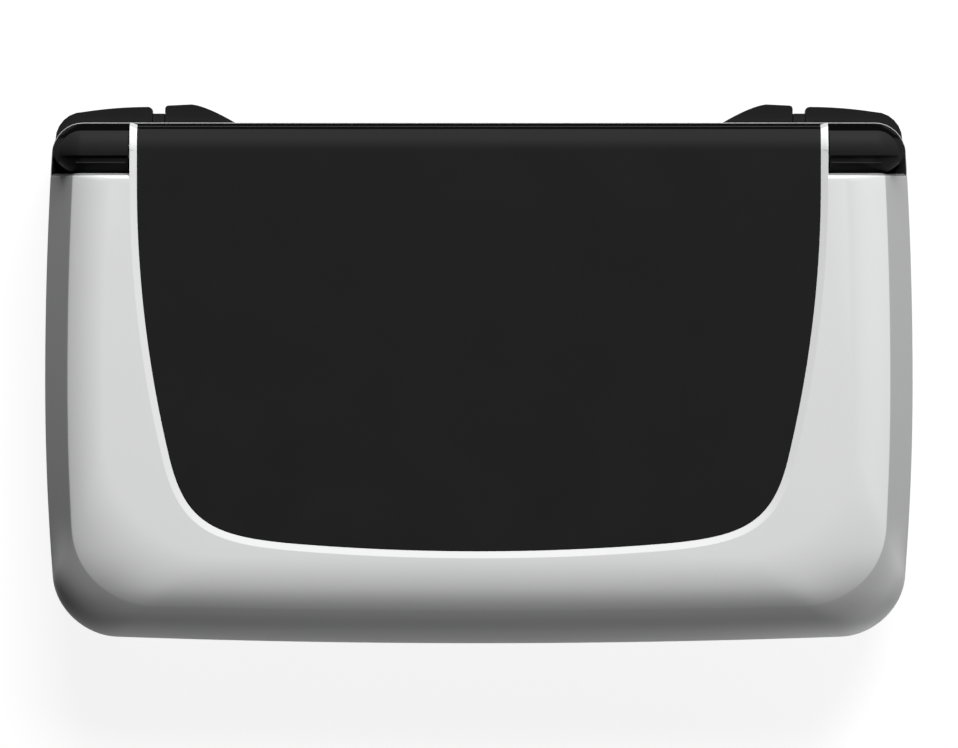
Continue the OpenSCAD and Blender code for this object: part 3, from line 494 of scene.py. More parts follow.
def combine(solid, tools, operation):
    """Joins or cuts a solid with others, which are used up."""
    for tool in tools:
        step = solid.modifiers.new("step", "BOOLEAN")
        step.solver = "EXACT"
        step.operation = operation
        step.object = tool
    shape = solid.evaluated_get(bpy.context.evaluated_depsgraph_get())
    mesh = bpy.data.meshes.new_from_object(shape)
    solid.modifiers.clear()
    solid.data = mesh
    for tool in tools:
        bpy.data.objects.remove(tool)
    return solid


def join(solid, *tools):
    """Joins other solids to the first."""
    return combine(solid, tools, "UNION")


def cut(solid, *tools):
    """Cuts other solids out of the first."""
    return combine(solid, tools, "DIFFERENCE")


def turned(profile, side, segments=96):
    """Solid of revolution about the hinge line, from (place, radius) points, on the right or left."""
    turn = [2 * math.pi * i / segments for i in range(segments)]
    return keep(loft([[(side * x, axis_y + r * math.sin(t), axis_z + r * math.cos(t)) for t in turn]
                      for x, r in profile]))


def bullet_half(start, radius, grow):
    """Half section of a barrel whose outer end is rounded off, from its inner end."""
    reach, full_r = knuckle_tip - knuckle_round + grow, radius + grow
    tip = [(knuckle_round + reach * math.sin(tip_step * i) ** end_power,
            full_r * math.cos(tip_step * i) ** end_power) for i in range(tip_count)]
    return [(start, full_r)] + tip


def bullet(start, radius, grow, side):
    """Barrel on the hinge line whose outer end is rounded off."""
    return turned(bullet_half(start, radius, grow), side)


def ordered(side, inner, outer):
    """Two places on X, mirrored for the left side and put in rising order."""
    return sorted((side * inner, side * outer))


def both_sides(make):
    """What make(side) gives for the right and for the left."""
    return [piece for side in (1, -1) for piece in make(side)]


def copy_of(node):
    """A CAD node's solid with its triangles merged into whole faces, in millimetres."""
    bm = bmesh.new()
    bm.from_mesh(frame["nodes"][node].data)
    bmesh.ops.scale(bm, vec=(1 / MM,) * 3, verts=bm.verts)
    bmesh.ops.remove_doubles(bm, verts=bm.verts, dist=near)
    bmesh.ops.dissolve_limit(bm, angle_limit=math.radians(0.5), verts=bm.verts, edges=bm.edges,
                             use_dissolve_boundaries=False)
    return mesh_object(bm)


def finish(solid, name, body, material, nodes=(), crisp=14, edge=0, segments=2, edge_angle=30):
    """Names a solid, takes it to metres, sets its sharp edges and hands it to the frame."""
    bm = bmesh.new()
    bm.from_mesh(solid.data)
    bmesh.ops.remove_doubles(bm, verts=bm.verts, dist=weld)
    bmesh.ops.dissolve_degenerate(bm, edges=bm.edges, dist=weld)
    bmesh.ops.scale(bm, vec=(MM,) * 3, verts=bm.verts)
    for face in bm.faces:
        face.smooth = True
    for seam in bm.edges:
        if len(seam.link_faces) == 2:
            seam.smooth = seam.calc_face_angle() < math.radians(crisp)
    bm.to_mesh(solid.data)
    bm.free()
    solid.name = solid.data.name = name
    if edge:
        rounding = solid.modifiers.new("soft_edges", "BEVEL")
        rounding.limit_method = "ANGLE"
        rounding.angle_limit = math.radians(edge_angle)
        rounding.width = edge * MM
        rounding.segments = segments
        rounding.harden_normals = True
    solid.data.materials.clear()
    solid.data.materials.append(MATERIALS[material])
    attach(solid, body)
    if nodes:
        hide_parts(*nodes)


# ---------- Materials ----------

class Field:
    """A shader socket that can be used in sums and products."""

    def __init__(self, tree, socket=None):
        self.tree = tree
        self.socket = socket

    def node(self, kind, settings=None, inputs=None, output=0):
        """Adds a node: its settings first, then the values or links of its inputs."""
        made = self.tree.nodes.new(kind)
        for key, value in (settings or {}).items():
            setattr(made, key, value)
        for key, value in (inputs or {}).items():
            if isinstance(value, Field):
                self.tree.links.new(value.socket, made.inputs[key])
            else:
                made.inputs[key].default_value = value
        return Field(self.tree, made.outputs[output])

    def math(self, operation, *values):
        """This value and others put through one Math node."""
        inputs = {i: value for i, value in enumerate((self, *values))}
        return self.node("ShaderNodeMath", {"operation": operation}, inputs)

    def __add__(self, other):
        return self.math("ADD", other)

    def __sub__(self, other):
        return self.math("SUBTRACT", other)

    def __mul__(self, other):
        return self.math("MULTIPLY", other)

    def __rsub__(self, other):
        return self.node("ShaderNodeMath", {"operation": "SUBTRACT"}, {0: other, 1: self})

    __radd__ = __add__
    __rmul__ = __mul__

    def step(self, low, high):
        """0 below low, 1 above high, and a smooth rise between them."""
        return self.node("ShaderNodeMapRange", {"interpolation_type": "SMOOTHSTEP"},
                         {"Value": self, "From Min": low, "From Max": high})

    def tint(self, first, second):
        """Colour that goes from the first to the second as this value goes from 0 to 1."""
        colours = {MIX_FACTOR: self, MIX_FIRST: rgba(first), MIX_SECOND: rgba(second)}
        return self.node("ShaderNodeMix", {"data_type": "RGBA"}, colours, output=MIX_RESULT)


def rgba(colour):
    """A colour with its alpha, or a field as it is."""
    return colour if isinstance(colour, Field) else (*colour, 1)


def shades(colour, factor):
    """A colour made lighter or darker."""
    return tuple(min(1, part * factor) for part in colour)


class Surface(Field):
    """A material's own node tree, with the shared coordinates and noises that its finish reads."""

    def __init__(self, name, **uniform):
        self.material = bpy.data.materials.new(name)
        self.material.use_nodes = True
        super().__init__(self.material.node_tree)
        self.shader = self.tree.nodes["Principled BSDF"]
        for key, value in uniform.items():
            self.shader.inputs[key.replace("_", " ")].default_value = value
        self.place = self.node("ShaderNodeTexCoord", output="Object")

    def noise(self, size, detail=2, roughness=0.5, stretch=None):
        """Noise whose features are about this many millimetres across, or longer where stretched."""
        place = self.place
        if stretch:
            place = self.node("ShaderNodeMapping", {"vector_type": "POINT"},
                              {"Vector": place, "Scale": stretch})
        return self.node("ShaderNodeTexNoise", None, {"Vector": place, "Scale": 1 / (size * MM),
                                                      "Detail": detail, "Roughness": roughness})

    def cells(self, size, feature="F1"):
        """Distance to the nearest of points this many millimetres apart, or to their cells' edges."""
        return self.node("ShaderNodeTexVoronoi", {"feature": feature},
                         {"Vector": self.place, "Scale": 1 / (size * MM)})

    def axis(self, letter):
        """One coordinate of the surface, in millimetres."""
        part = self.node("ShaderNodeSeparateXYZ", None, {0: self.place}, output="XYZ".index(letter))
        return part * (1 / MM)

    def bump(self, height, depth):
        """Normal from a height field whose range stands for this many millimetres."""
        return self.node("ShaderNodeBump", None, {"Strength": 1, "Distance": depth * MM, "Height": height})

    def set(self, **sockets):
        """Links fields to the shader's sockets and gives back the material."""
        for key, value in sockets.items():
            self.tree.links.new(value.socket, self.shader.inputs[key.replace("_", " ")])
        return self.material


def silver_paint():
    """Satin paint with fine flakes, greyer with painted shade on the lid's band, front, corners and neck,
    and on the rim.
    """
    paint = Surface("silver_paint", Specular_IOR_Level=0.08)
    base, shadow = (0.735, 0.737, 0.742), (0.01, 0.01, 0.01)
    grain, cloud = paint.noise(0.09, 1, 0.7), paint.noise(26)
    tone = (grain * 0.7 + cloud * 0.3).step(0.25, 0.75)
    colour = tone.tint(shades(base, 0.975), shades(base, 1.02))
    across, along, up = paint.axis("X").math("ABSOLUTE"), paint.axis("Y"), paint.axis("Z")
    on_lid = up.step(rim_z, lid_z)
    # Painted shade: these masks darken the lid's band, a front corner, the front's turn and skirt, the
    # base's rear rim and the lid's neck towards the shadow colour where the lamps alone leave them too
    # bright; on the neck it is a painted shadow of the barrel.
    band = on_lid * (1 - up.step(*crease_fade)) * along.step(*band_fade)
    corner = across.step(*corner_fade_x) * (1 - along.step(*corner_fade_y)) * up.step(*corner_fade_z)
    turn = (1 - along.step(*turn_fade_rear)) * along.step(*turn_fade_front) * on_lid
    skirt = (1 - up.step(*skirt_fade_z)) * (1 - along.step(*skirt_fade_y)) * on_lid
    rim = up.step(*rim_fade_z) * along.step(*rim_fade_y) * (1 - on_lid)
    neck = across.step(*neck_fade_x) * along.step(*neck_fade_y) * up.step(*neck_fade_z)
    colour = (band * band_shade + corner * corner_shade).tint(colour, shadow)
    colour = (turn * turn_shade + skirt * skirt_shade).tint(colour, shadow)
    colour = (rim * rim_shade + neck * neck_shade).tint(colour, shadow)
    roughness = 0.43 + 0.05 * grain + 0.03 * cloud
    return paint.set(Base_Color=colour, Roughness=roughness, Normal=paint.bump(grain, 0.0025))


def mottled(part, colour, grain_size, variation):
    """A plastic's fine grain, its broad cloud, and its colour varied a little by both."""
    grain, cloud = part.noise(grain_size, 3, 0.6), part.noise(14)
    mix = (grain * 0.5 + cloud * 0.5).step(0.3, 0.7)
    return grain, cloud, mix.tint(shades(colour, 1 - variation), shades(colour, 1 + variation))


def hinge_plastic(name, colour):
    """Satin black of the hinge, with a painted highlight on the knuckles' stepped front and painted shade
    low at the rear.
    """
    part = Surface(name, Specular_IOR_Level=0.04)
    grain, cloud, tone = mottled(part, colour, 0.15, 0.06)
    across, along, up = part.axis("X").math("ABSOLUTE"), part.axis("Y"), part.axis("Z")
    # Painted highlight: the knuckles' stepped front is lightened; painted shade: the hinge is darkened low
    # at its rear.
    front = (1 - along.step(*step_fade)) * across.step(disc_out, knuckle_x) * (1 - across.step(*round_fade))
    low = along.step(*low_fade_y) * (1 - up.step(*low_fade_z))
    tone = low.tint(front.tint(tone, shades(colour, front_painted_light)), shades(colour, low_shade))
    return part.set(Base_Color=tone, Roughness=0.51 + 0.08 * cloud, Normal=part.bump(grain, 0.001))


def frame_plastic(name, colour):
    """Matte black, with painted shade in the narrow gap between the hinge and the rear wall."""
    part = Surface(name, Specular_IOR_Level=0.12)
    grain, cloud, tone = mottled(part, colour, 0.16, 0.12)
    along = part.axis("Y")
    # Painted shade: the colour in the gap behind the hinge is taken nearly to black.
    gap = along.step(*gap_fade_front) * (1 - along.step(*gap_fade_rear))
    colour = (gap * gap_shade).tint(tone, (0, 0, 0))
    return part.set(Base_Color=colour, Roughness=0.58 + 0.08 * cloud + 0.2 * gap,
                    Normal=part.bump(grain, 0.008))


def moulded(name, colour, roughness, grain_size, grain_depth, variation=0.12, **uniform):
    """Moulded plastic or rubber: an even colour with a fine spark-eroded grain."""
    part = Surface(name, **uniform)
    grain, cloud, tone = mottled(part, colour, grain_size, variation)
    return part.set(Base_Color=tone, Roughness=roughness - 0.04 + 0.08 * cloud,
                    Normal=part.bump(grain, grain_depth))


def screen_glass():
    """Cover glass: a black printed border round the dark, faintly blue picture area."""
    low, high = span("display_panel")
    glass = Surface("screen_glass", Specular_IOR_Level=0.5, Coat_Weight=0.6, Coat_Roughness=0.03)
    middle, reach = (low + high) / 2, (high - low) / 2
    side_border, end_border, blur = 2, 0.8, 0.05
    across = (glass.axis("X") - middle.x).math("ABSOLUTE")
    along = (glass.axis("Y") - middle.y).math("ABSOLUTE")
    sides = across.step(reach.x - side_border - blur, reach.x - side_border + blur)
    ends = along.step(reach.y - end_border - blur, reach.y - end_border + blur)
    border = sides.math("MAXIMUM", ends)
    smear = glass.noise(9, 3)
    colour = border.tint((0.012, 0.014, 0.018), (0.004, 0.004, 0.004))
    return glass.set(Base_Color=colour, Roughness=0.04 + 0.03 * smear)


def metal(name, colour, roughness, brush):
    """Metal brushed or turned along one direction."""
    part = Surface(name, Metallic=1.0)
    lines, cloud = part.noise(0.25, 3, 0.65, stretch=brush), part.noise(6)
    tone = (lines * 0.6 + cloud * 0.4).tint(shades(colour, 0.85), shades(colour, 1.1))
    return part.set(Base_Color=tone, Roughness=roughness - 0.06 + 0.14 * lines,
                    Normal=part.bump(lines, 0.0015))


def circuit_board():
    """Solder mask over traces, with bare pads."""
    board = Surface("circuit_board", Specular_IOR_Level=0.5)
    mask_dark, mask_light, gold = (0.012, 0.10, 0.045), (0.025, 0.19, 0.085), (0.72, 0.55, 0.22)
    layout = {"Vector": board.place, "Scale": 1 / (9 * MM), "Mortar Size": 0.035, "Mortar Smooth": 0.2,
              "Brick Width": 0.7, "Row Height": 0.16}
    runs = board.node("ShaderNodeTexBrick", None, layout, output="Fac")
    pads = 1 - board.cells(2.6).step(0.1, 0.14)
    colour = pads.tint(runs.tint(mask_dark, mask_light), gold)
    return board.set(Base_Color=colour, Roughness=0.42 - 0.15 * pads, Metallic=pads,
                     Normal=board.bump(runs, 0.03))


def battery_wrap():
    """Crinkled foil pouch with a seam along its edges, and painted shade darkening its creases."""
    pouch = Surface("battery_pack", Metallic=0.55)
    creases = pouch.cells(7, "DISTANCE_TO_EDGE").step(0.0, 0.08)
    grain = pouch.noise(0.5, 3)
    # Painted shade: the colour is darker along the creases.
    colour = creases.tint((0.10, 0.11, 0.13), (0.19, 0.21, 0.25))
    return pouch.set(Base_Color=colour, Roughness=0.35 + 0.15 * grain, Normal=pouch.bump(creases, 0.08))


# One finish for each slot.
MATERIALS = {
    "silver_shell": silver_paint(),
    "black_panel": moulded("black_panel", (0.0152, 0.0152, 0.0152), 0.6, 0.12, 0.0012, 0.05,
                           Specular_IOR_Level=0.04),
    "black_gloss": hinge_plastic("black_gloss", (0.0175, 0.0175, 0.0175)),
    "black_matte": frame_plastic("black_matte", (0.012, 0.012, 0.0125)),
    "shoulder_plastic": moulded("shoulder_plastic", (0.0098, 0.0098, 0.0098), 0.6, 0.2, 0.006, 0.08,
                                Specular_IOR_Level=0.12),
    "button_plastic": moulded("button_plastic", (0.026, 0.026, 0.028), 0.38, 0.2, 0.004,
                              Specular_IOR_Level=0.45),
    "pivot_plastic": moulded("pivot_plastic", (0.12, 0.12, 0.13), 0.5, 0.25, 0.006),
    "stick_rubber": moulded("stick_rubber", (0.017, 0.017, 0.018), 0.78, 0.22, 0.03,
                            Specular_IOR_Level=0.3),
    "soft_rubber": moulded("soft_rubber", (0.03, 0.03, 0.03), 0.85, 0.25, 0.02, Specular_IOR_Level=0.3),
    "membrane_rubber": moulded("membrane_rubber", (0.45, 0.45, 0.47), 0.6, 0.5, 0.006,
                               Subsurface_Weight=0.1),
    "screen_glass": screen_glass(),
    "display": moulded("display", (0.02, 0.02, 0.025), 0.2, 0.3, 0.001),
    "steel": metal("steel", (0.62, 0.62, 0.63), 0.28, (0.08, 1, 1)),
    "dark_screws": metal("dark_screws", (0.12, 0.12, 0.125), 0.4, (1, 1, 0.4)),
    "aluminium_plate": metal("aluminium_plate", (0.74, 0.74, 0.75), 0.36, (0.06, 1, 1)),
    "battery_pack": battery_wrap(),
    "circuit_board": circuit_board(),
    "jack_plastic": moulded("jack_plastic", (0.03, 0.03, 0.03), 0.5, 0.2, 0.005),
    "cable_film": moulded("cable_film", (0.62, 0.30, 0.05), 0.3, 0.4, 0.002),
    "light_pipe": moulded("light_pipe", (0.80, 0.86, 0.92), 0.15, 0.4, 0.001),
}

SLOTS = {part["node"]: part["material_slot"] for part in frame["record"]["subparts"]}


def dress_carried_nodes():
    """Gives each CAD node the finish of its slot in the record."""
    for name, node in frame["nodes"].items():
        node.data.materials.clear()
        node.data.materials.append(MATERIALS[SLOTS[name]])


# ---------- Lid ----------

def lid_skin():
    """Silver lid: a lofted shell with end discs, the inlay's bed and the cut-outs for the hinge."""
    band_steps, roll_steps, cavity_levels = 10, 16, (3.4, 1.8, 0.8, 0)
    shares = [1 - (1 - i / roll_steps) ** 2 for i in range(roll_steps + 1)]
    heights = [lid_z, (lid_z + wall_z) / 2]
    heights += [wall_z + (crease_z - wall_z) * i / band_steps for i in range(band_steps)]
    heights += [crease_z + (case_h - crease_z) * share for share in shares]
    bm = loft([lid_ring(z) for z in heights])
    bevel_rings(bm, ((lid_z, 0.15, 2), (wall_z, 0.35, 3), (crease_z, 0.22, 4)))
    shell = keep(bm)
    cavity_heights = [lid_z - past, mouth_z - 0.1] + [roof_z - drop for drop in cavity_levels]
    cut(shell, keep(loft([cavity_ring(z) for z in cavity_heights])))

    def ends(side):
        """End disc of the barrel, with the arm that carries it."""
        inner, outer = ordered(side, disc_in, disc_out)
        full_r = barrel_r - flush
        profile = [(disc_in, panel_r - slope_foot), (disc_out - disc_land, full_r), (disc_out, full_r)]
        yield turned(profile, side, 128)
        yield block((inner, arm_front, axis_z), (outer, axis_y, case_h - flush))
        yield block((inner, arm_front, axis_z - arm_drop), (outer, arm_rear, axis_z + overlap))

    join(shell, *both_sides(ends))
    bed = panel_plan(panel_gap, bed_y)
    levels = ((panel_gap, -panel_drop - slope_foot), (rim_w, 0), (rim_w + slope_out, slope_rise))
    slope = [at_height(panel_plan(grow, bed_y), case_h + rise) for grow, rise in levels]

    def room(side):
        """Room for the fixed knuckle and its pin."""
        inner, outer = ordered(side, disc_out, half_w + far)
        yield bullet(disc_out, knuckle_r, hinge_room, side)
        yield block((inner, room_y, lid_z - past), (outer, axis_y + room_reach, case_h + past))
        inner, outer = ordered(side, disc_in - past, disc_out + past)
        yield rod("X", inner, outer, (axis_y, axis_z), pin_room, 32)

    rear_slot = block((-disc_in, slot_y, lid_z - past), (disc_in, axis_y, roof_z + past))
    cut(shell, rear_slot, prism(bed, roof_z + past, case_h + far), keep(loft(slope)), *both_sides(room))
    finish(shell, "lid_skin", "lid", "silver_shell", ["lid_shell"])


def spin_edge(bm, faces, centre, angle, steps):
    """Spins faces about an axis along X."""
    edges = list({e for f in faces for e in f.edges})
    verts = list({v for f in faces for v in f.verts})
    bmesh.ops.spin(bm, geom=list(faces) + edges + verts, cent=centre, axis=(1, 0, 0), angle=angle,
                   steps=steps, use_duplicate=False)


def inlay():
    """Black inlay: a plate whose rear end rolls over the hinge as the barrel's upper shell."""
    low, high = panel_high.z - skin_t, panel_high.z
    bm = loft([at_height(panel_plan(0, axis_y), low), at_height(panel_plan(0, axis_y), high)])
    bmesh.ops.recalc_face_normals(bm, faces=bm.faces)
    rear = [f for f in bm.faces if all(abs(v.co.y - axis_y) < near for v in f.verts)]
    spin_edge(bm, rear, (0, axis_y, axis_z), -seam_angle, steps=16)
    bmesh.ops.remove_doubles(bm, verts=bm.verts, dist=weld)
    finish(keep(bm), "inlay", "lid", "black_panel", ["lid_panel"], edge=0.12, segments=3, edge_angle=40)


def barrel_arc(inner, outer, start, end, steps):
    """Part of a tube round the hinge line, as long as the inlay is wide."""
    bm = bmesh.new()
    ends = [(-panel_hw, inner), (panel_hw, inner), (panel_hw, outer), (-panel_hw, outer)]
    verts = [bm.verts.new((x, axis_y + r * math.sin(start), axis_z + r * math.cos(start))) for x, r in ends]
    face = bm.faces.new(verts)
    spin_edge(bm, [face], (0, axis_y, axis_z), start - end, steps)
    return keep(bm)


def hinge_shell():
    """Black lower shell of the hinge barrel, with a lip behind the inlay and a flange on the bezel."""
    inner = panel_r - skin_t
    shell = barrel_arc(inner, groove_r, seam_angle + near, shell_end, steps=64)
    lip = barrel_arc(groove_r - lip_root, panel_r, lip_start, lip_end, steps=3)
    flange = block((-panel_hw, flange_front, bezel_low.z), (panel_hw, flange_rear, bezel_high.z))
    cut(flange, rod("X", -panel_hw - past, panel_hw + past, (axis_y, axis_z), inner + near, 96))
    finish(join(shell, lip, flange), "hinge_shell", "lid", "black_gloss", ["hinge_cover"], edge=0.06,
           edge_angle=40)


def knuckle(side):
    """Fixed knuckle: a round-ended barrel on a foot, stepped in front, with a bead and a rear ledge."""
    node = "knuckle_right" if side > 0 else "knuckle_left"
    inner, outer = ordered(side, knuckle_x, knuckle_end)
    body = turned([(disc_out + collar_gap, collar_r), (knuckle_x, collar_r)], side)
    join(body, bullet(knuckle_x, knuckle_r, 0, side))
    cut(body, block((inner - past, axis_y - barrel_reach, axis_z - barrel_reach),
                    (outer + past, step_y, axis_z + barrel_reach)))
    front = bullet(knuckle_x, knuckle_r - step_depth, 0, side)
    half = [(side * x, min(foot_reach, r)) for x, r in bullet_half(knuckle_x, knuckle_r, 0)]
    plan_of_foot = [(x, axis_y + r) for x, r in half] + [(x, axis_y - r) for x, r in reversed(half)]
    foot = prism(plan_of_foot, rim_z, axis_z)
    bead = rod("X", *ordered(side, bead_start, bead_end), (bead_y, bead_z), bead_r, 24)
    join(body, front, foot, bead)
    lip = prism(edge_band(*lip_band), lip_band_z, case_h + past)
    ledge = prism(edge_band(*ledge_band), ledge_band_z, case_h + past)
    pin = rod("X", *ordered(side, disc_out - past, knuckle_end - pin_short), (axis_y, axis_z), pin_r, 48)
    cut(body, lip, ledge, pin)
    finish(body, node + "_skin", "case", "black_gloss", [node], edge=0.1, segments=3, edge_angle=35)


def edge_band(outer, inner):
    """Band that follows the case's rear edge and corners, between two insets from it."""
    def rear_edge(inset):
        return sorted((p for p in rear_plan(inset) if p[1] > band_y), key=lambda p: p[0])

    return rear_edge(outer) + rear_edge(inner)[::-1]


# ---------- Base ----------

def base_skin():
    """Silver base: a lofted tub with its posts, windows, vents, card slot and screw wells."""
    steps, crowding, cavity_levels = 22, 2.2, (0, 0.7, 1.7, 3.2, 5.4)
    heights = [rim_z - (rim_z - foot_h) * (1 - (i / steps) ** crowding) for i in range(steps + 1)]
    bm = loft([base_ring(z) for z in heights])
    bevel_rings(bm, ((rim_z, 0.18, 2), (foot_h, 0.35, 3)))
    shell = keep(bm)
    inside = [floor_z + rise for rise in cavity_levels] + [deck_low_z - 0.6, rim_z + past]
    cut(shell, keep(loft([base_cavity_ring(z) for z in inside])))
    root = floor_z - overlap

    def posts(side):
        """Posts for the case screws, the board screws, the shoulder pins and the stick housing."""
        for x, y in screw_places:
            yield rod("Z", root, deck_low_z, (side * x, y), post_r, 32)
        for x, y in board_screw_places:
            yield rod("Z", root, board_z, (side * x, y), board_post_r, 32)
        for x in (bumper_pin_x, trigger_pin_x):
            yield rod("Z", root, shoulder_lo - shoulder_gap, (side * x, pin_y), pin_post_r, 32)
        for x in (stick_place.x - stick_post_x, stick_place.x + stick_post_x):
            yield rod("Z", root, housing_low, (side * x, stick_place.y), stick_post_r, 32)

    join(shell, *both_sides(posts))

    def openings(side):
        """The shoulder buttons' bay, the wells and holes of the screws and the pins' holes."""
        inner, outer = ordered(side, bay_in, half_w + past)
        low, high = shoulder_lo - shoulder_gap, shoulder_hi + shoulder_gap
        yield block((inner, bay_front, low), (outer, bay_rear, high))
        for x, y in screw_places:
            yield rod("Z", foot_h - past, foot_h + well_depth, (side * x, y), well_r, 48)
            yield rod("Z", foot_h, deck_z, (side * x, y), screw_hole_r, 24)
        for x, y in board_screw_places:
            yield rod("Z", board_z - board_hole_depth, board_z + past, (side * x, y), board_hole_r, 24)
        for x in (bumper_pin_x, trigger_pin_x):
            yield rod("Z", shoulder_lo - pin_hole_depth, shoulder_lo, (side * x, pin_y), pin_hole_r, 24)

    deep, out = rear_y - window_depth, rear_y + past
    windows = [block((x - width / 2, deep, board_top), (x + width / 2, out, board_top + height))
               for x, width, height in (charge_window, video_window)]
    windows += [rod("Y", deep, out, (jack_x, board_top - jack_drop), jack_r, 48)]
    windows += [slab(pill(width, height), deep, out, (x, switch_z))
                for x, width, height in (power_window, volume_window)]
    windows += [block(card_low, card_high)]
    vent = [(y, x + vent_y) for x, y in reversed(pill(vent_l, vent_w))]
    vents = [prism([(x + vent_pitch * i, y) for x, y in vent], foot_h - past, floor_z + past)
             for i in range(-vent_side, vent_side + 1)]
    cut(shell, *both_sides(openings), *windows, *vents)
    finish(shell, "base_skin", "case", "silver_shell", ["base_shell"])


def pill(width, height):
    """Outline of a slot with round ends, longer along its first axis."""
    radius, straight, steps = height / 2, (width - height) / 2, 10
    return arc((straight, 0), radius, -90, 90, steps) + arc((-straight, 0), radius, 90, 270, steps)


def slab(outline, low, high, centre):
    """Prism along Y of an outline drawn in X and Z."""
    rings = [[(x + centre[0], y, z + centre[1]) for x, z in outline] for y in (low, high)]
    return keep(loft(rings))


def rear_frame_skin():
    """Black frame behind the deck, with a thin lip on the base's rear wall."""
    frame_part = copy_of("rear_frame")
    lip = prism(rear_plan(frame_lip_in), rim_z - overlap, rim_z + frame_lip_h)
    cut(lip, block((-half_w - past, -60, 0), (half_w + past, frame_lip_y, case_h)))
    join(frame_part, lip)
    finish(frame_part, "rear_frame_skin", "case", "black_matte", ["rear_frame"], edge=0.06, edge_angle=40)


def shoulder(node, body):
    """Shoulder button with its long edges rounded."""
    finish(copy_of(node), node + "_cap", body, "shoulder_plastic", [node], crisp=40, edge=0.45, segments=4,
           edge_angle=50)


def soften(node, edge):
    """A node's own solid with its edges rounded, in the finish of its slot."""
    finish(copy_of(node), node + "_skin", frame["nodes"][node]["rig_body"], SLOTS[node], [node], crisp=40,
           edge=edge, segments=3, edge_angle=35)


def stick_cap(side):
    """Thumb stick cap with a finely ribbed rim and a narrow waist."""
    node = "stick_cap_right" if side > 0 else "stick_cap_left"
    cap = copy_of(node)
    low, high = span(node)
    middle, top = ((low + high) / 2).xy, high.z - crown_h
    tread = rod("Z", top - tread_low, top - tread_high, middle, tread_outer, 96)
    cut(tread, rod("Z", top - 2, top + past, middle, tread_inner, 96))
    cut(cap, tread)

    def ribbed(scale, drop):
        """The ribs' outline, scaled about the middle, at a depth below the crown."""
        outline = []
        for turn in (2 * math.pi * i / rib_steps for i in range(rib_steps)):
            reach = scale * (rib_r + rib_h * math.cos(rib_count * turn))
            outline.append((middle.x + reach * math.cos(turn), middle.y + reach * math.sin(turn)))
        return at_height(outline, top - drop)

    ribs = keep(loft([ribbed(scale, drop) for scale, drop in rib_levels]))
    cut(ribs, rod("Z", top - 2, top - bore_top, middle, bore_r, 48))
    join(cap, ribs)
    waist = rod("Z", high.z - waist_low, high.z - waist_high, middle, waist_outer, 64)
    cut(waist, rod("Z", high.z - 5, high.z - past, middle, waist_inner, 64))
    cut(cap, waist)
    finish(cap, node + "_skin", frame["nodes"][node]["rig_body"], "stick_rubber", [node], crisp=35)


def rear_control(node, body):
    """Power button or volume rocker, kept flush with the rear wall."""
    part = copy_of(node)
    cut(part, block((-half_w, rear_y - control_in, 0), (half_w, rear_y + far, case_h)))
    finish(part, node + "_cap", body, "button_plastic", [node], edge=0.2, segments=3, edge_angle=40)


# ---------- Stage, lamps and camera ----------

def stage_floor():
    """Pale floor with a low rim far away, white to the camera and in reflections."""
    reach, rim_h, pale_tone, plain_tone, glow_strength = 14, 2.4, 0.18, 0.08, 0.88
    bm = bmesh.new()
    ring = bmesh.ops.create_circle(bm, cap_ends=True, segments=96, radius=reach)["verts"]
    edges = [bm.edges.get((a, b)) for a, b in zip(ring, ring[1:] + ring[:1])]
    made = bmesh.ops.extrude_edge_only(bm, edges=edges)["geom"]
    rim = [v for v in made if isinstance(v, bmesh.types.BMVert)]
    bmesh.ops.translate(bm, vec=(0, 0, rim_h), verts=rim)
    floor = mesh_object(bm, "floor")
    material = bpy.data.materials.new("floor")
    material.use_nodes = True
    tree = material.node_tree
    tree.nodes.remove(tree.nodes["Principled BSDF"])
    start = Field(tree)
    rays = ("Is Camera Ray", "Is Glossy Ray", "Is Transmission Ray")
    camera_ray, glossy_ray, through_ray = (start.node("ShaderNodeLightPath", output=ray) for ray in rays)
    seen = (camera_ray + glossy_ray + through_ray).math("MINIMUM", 1.0)
    pale = start.node("ShaderNodeBsdfDiffuse", None, {"Color": rgba((pale_tone,) * 3)})
    glow = start.node("ShaderNodeEmission", None, {"Color": (1, 1, 1, 1), "Strength": glow_strength})
    bright = start.node("ShaderNodeAddShader", None, {0: pale, 1: glow})
    plain = start.node("ShaderNodeBsdfDiffuse", None, {"Color": rgba((plain_tone,) * 3)})
    mixed = start.node("ShaderNodeMixShader", None, {0: seen, 1: plain, 2: bright})
    below = start.node("ShaderNodeNewGeometry", output="Backfacing")
    clear = start.node("ShaderNodeBsdfTransparent")
    finished = start.node("ShaderNodeMixShader", None, {0: below, 1: mixed, 2: clear})
    tree.links.new(finished.socket, tree.nodes["Material Output"].inputs["Surface"])
    floor.data.materials.append(material)


def lamp(name, direction, distance, size, power, height=None, target=(0, 0, 0)):
    """Soft rectangular lamp aimed from a direction at the object or at a place on it."""
    data = bpy.data.lights.new(name, "AREA")
    data.shape = "RECTANGLE"
    data.size, data.size_y = size, height or size
    data.energy = power
    obj = add_object(name, data)
    away = Vector(direction).normalized()
    obj.location = Vector(target) + away * distance
    obj.rotation_euler = away.to_track_quat("Z", "Y").to_euler()


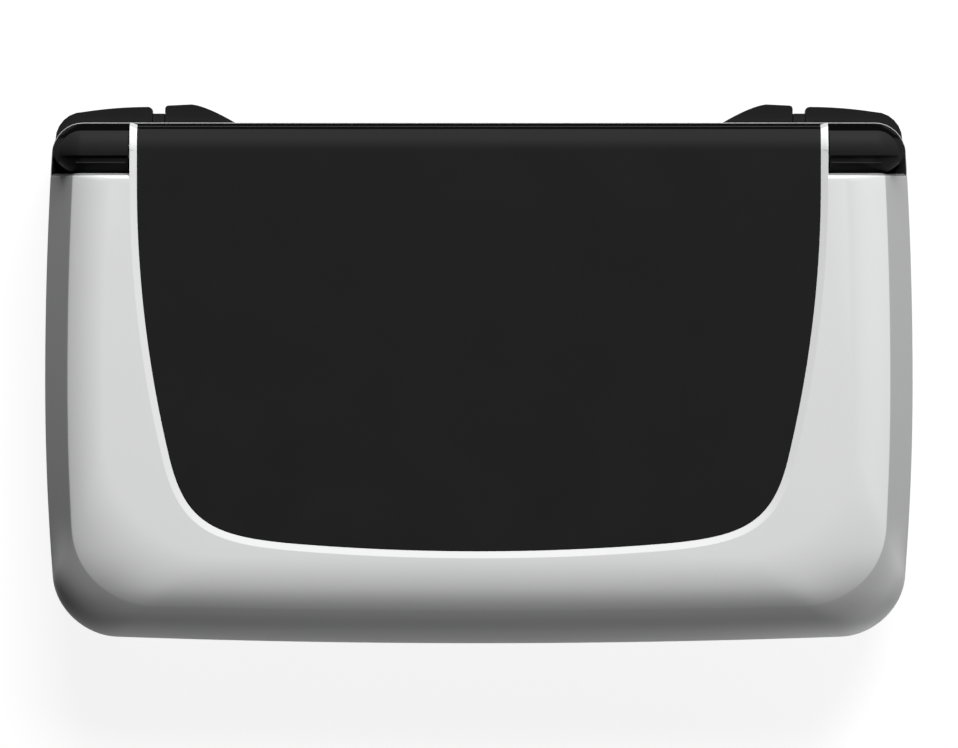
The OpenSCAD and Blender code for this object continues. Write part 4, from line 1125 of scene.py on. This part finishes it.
def studio():
    """Three lamps in a nearly dark room: the main one behind, a weak one in front, a card by a corner."""
    corner_place = ((half_w - front_corner_r) * MM, (front_corner_r - front_y) * MM, 0.0052)
    world = bpy.data.worlds.new("studio")
    bpy.context.scene.world = world
    world.use_nodes = True
    world.node_tree.nodes["Background"].inputs["Color"].default_value = (0.013, 0.013, 0.0133, 1)
    lamp("key", (0.16, 0.82, 0.55), distance=2.5, size=1.7, power=111, height=1.2)
    lamp("front_fill", (0.55, -0.83, 0.09), distance=2.5, size=0.9, power=15, height=0.4)
    lamp("corner_card", (0.47, -0.88, -0.01), distance=0.034, size=0.022, power=0.0024, height=0.008,
         target=corner_place)
    bpy.context.scene.view_settings.view_transform = "Standard"


def camera():
    """Looks straight down through a long lens."""
    distance, width, sensor = 2.4, 0.17088, 36
    shift_x, shift_y, mid_height = 0.00002, -0.00006, 0.018
    data = bpy.data.cameras.new("camera")
    data.sensor_width = sensor
    data.lens = sensor * distance / width
    obj = add_object("camera", data)
    obj.location = (shift_x, shift_y, distance + mid_height)
    bpy.context.scene.camera = obj


# Nodes that keep their own solid, and how wide its edges are rounded.
ROUNDED = {
    "deck": 0.2, "lid_bezel": 0.12, "screen_glass": 0.12, "dpad": 0.35, "dpad_pivot": 0.1,
    "button_north": 0.4, "button_east": 0.4, "button_south": 0.4, "button_west": 0.4,
    "select_button": 0.2, "home_button": 0.2, "start_button": 0.2, "rubber_feet": 0.35, "lid_bumpers": 0.2,
    "base_screws": 0.1, "lid_screws": 0.1, "usb_port": 0.12, "video_port": 0.12, "headphone_jack": 0.15,
    "card_slot": 0.06, "status_lights": 0.1, "stick_housing_left": 0.15, "stick_housing_right": 0.15,
    "stick_yoke_left": 0.12, "stick_yoke_right": 0.12, "battery": 0.5, "heat_spreader": 0.15,
}

dress_carried_nodes()
camera()
studio()
stage_floor()
lid_skin()
inlay()
hinge_shell()
base_skin()
rear_frame_skin()
for side in (1, -1):
    knuckle(side)
for node in ("bumper_left", "bumper_right", "trigger_left", "trigger_right"):
    shoulder(node, node + "_body")
for node in ("power_button", "volume_rocker"):
    rear_control(node, node + "_body")
for side in (1, -1):
    stick_cap(side)
for node, edge in ROUNDED.items():
    soften(node, edge)
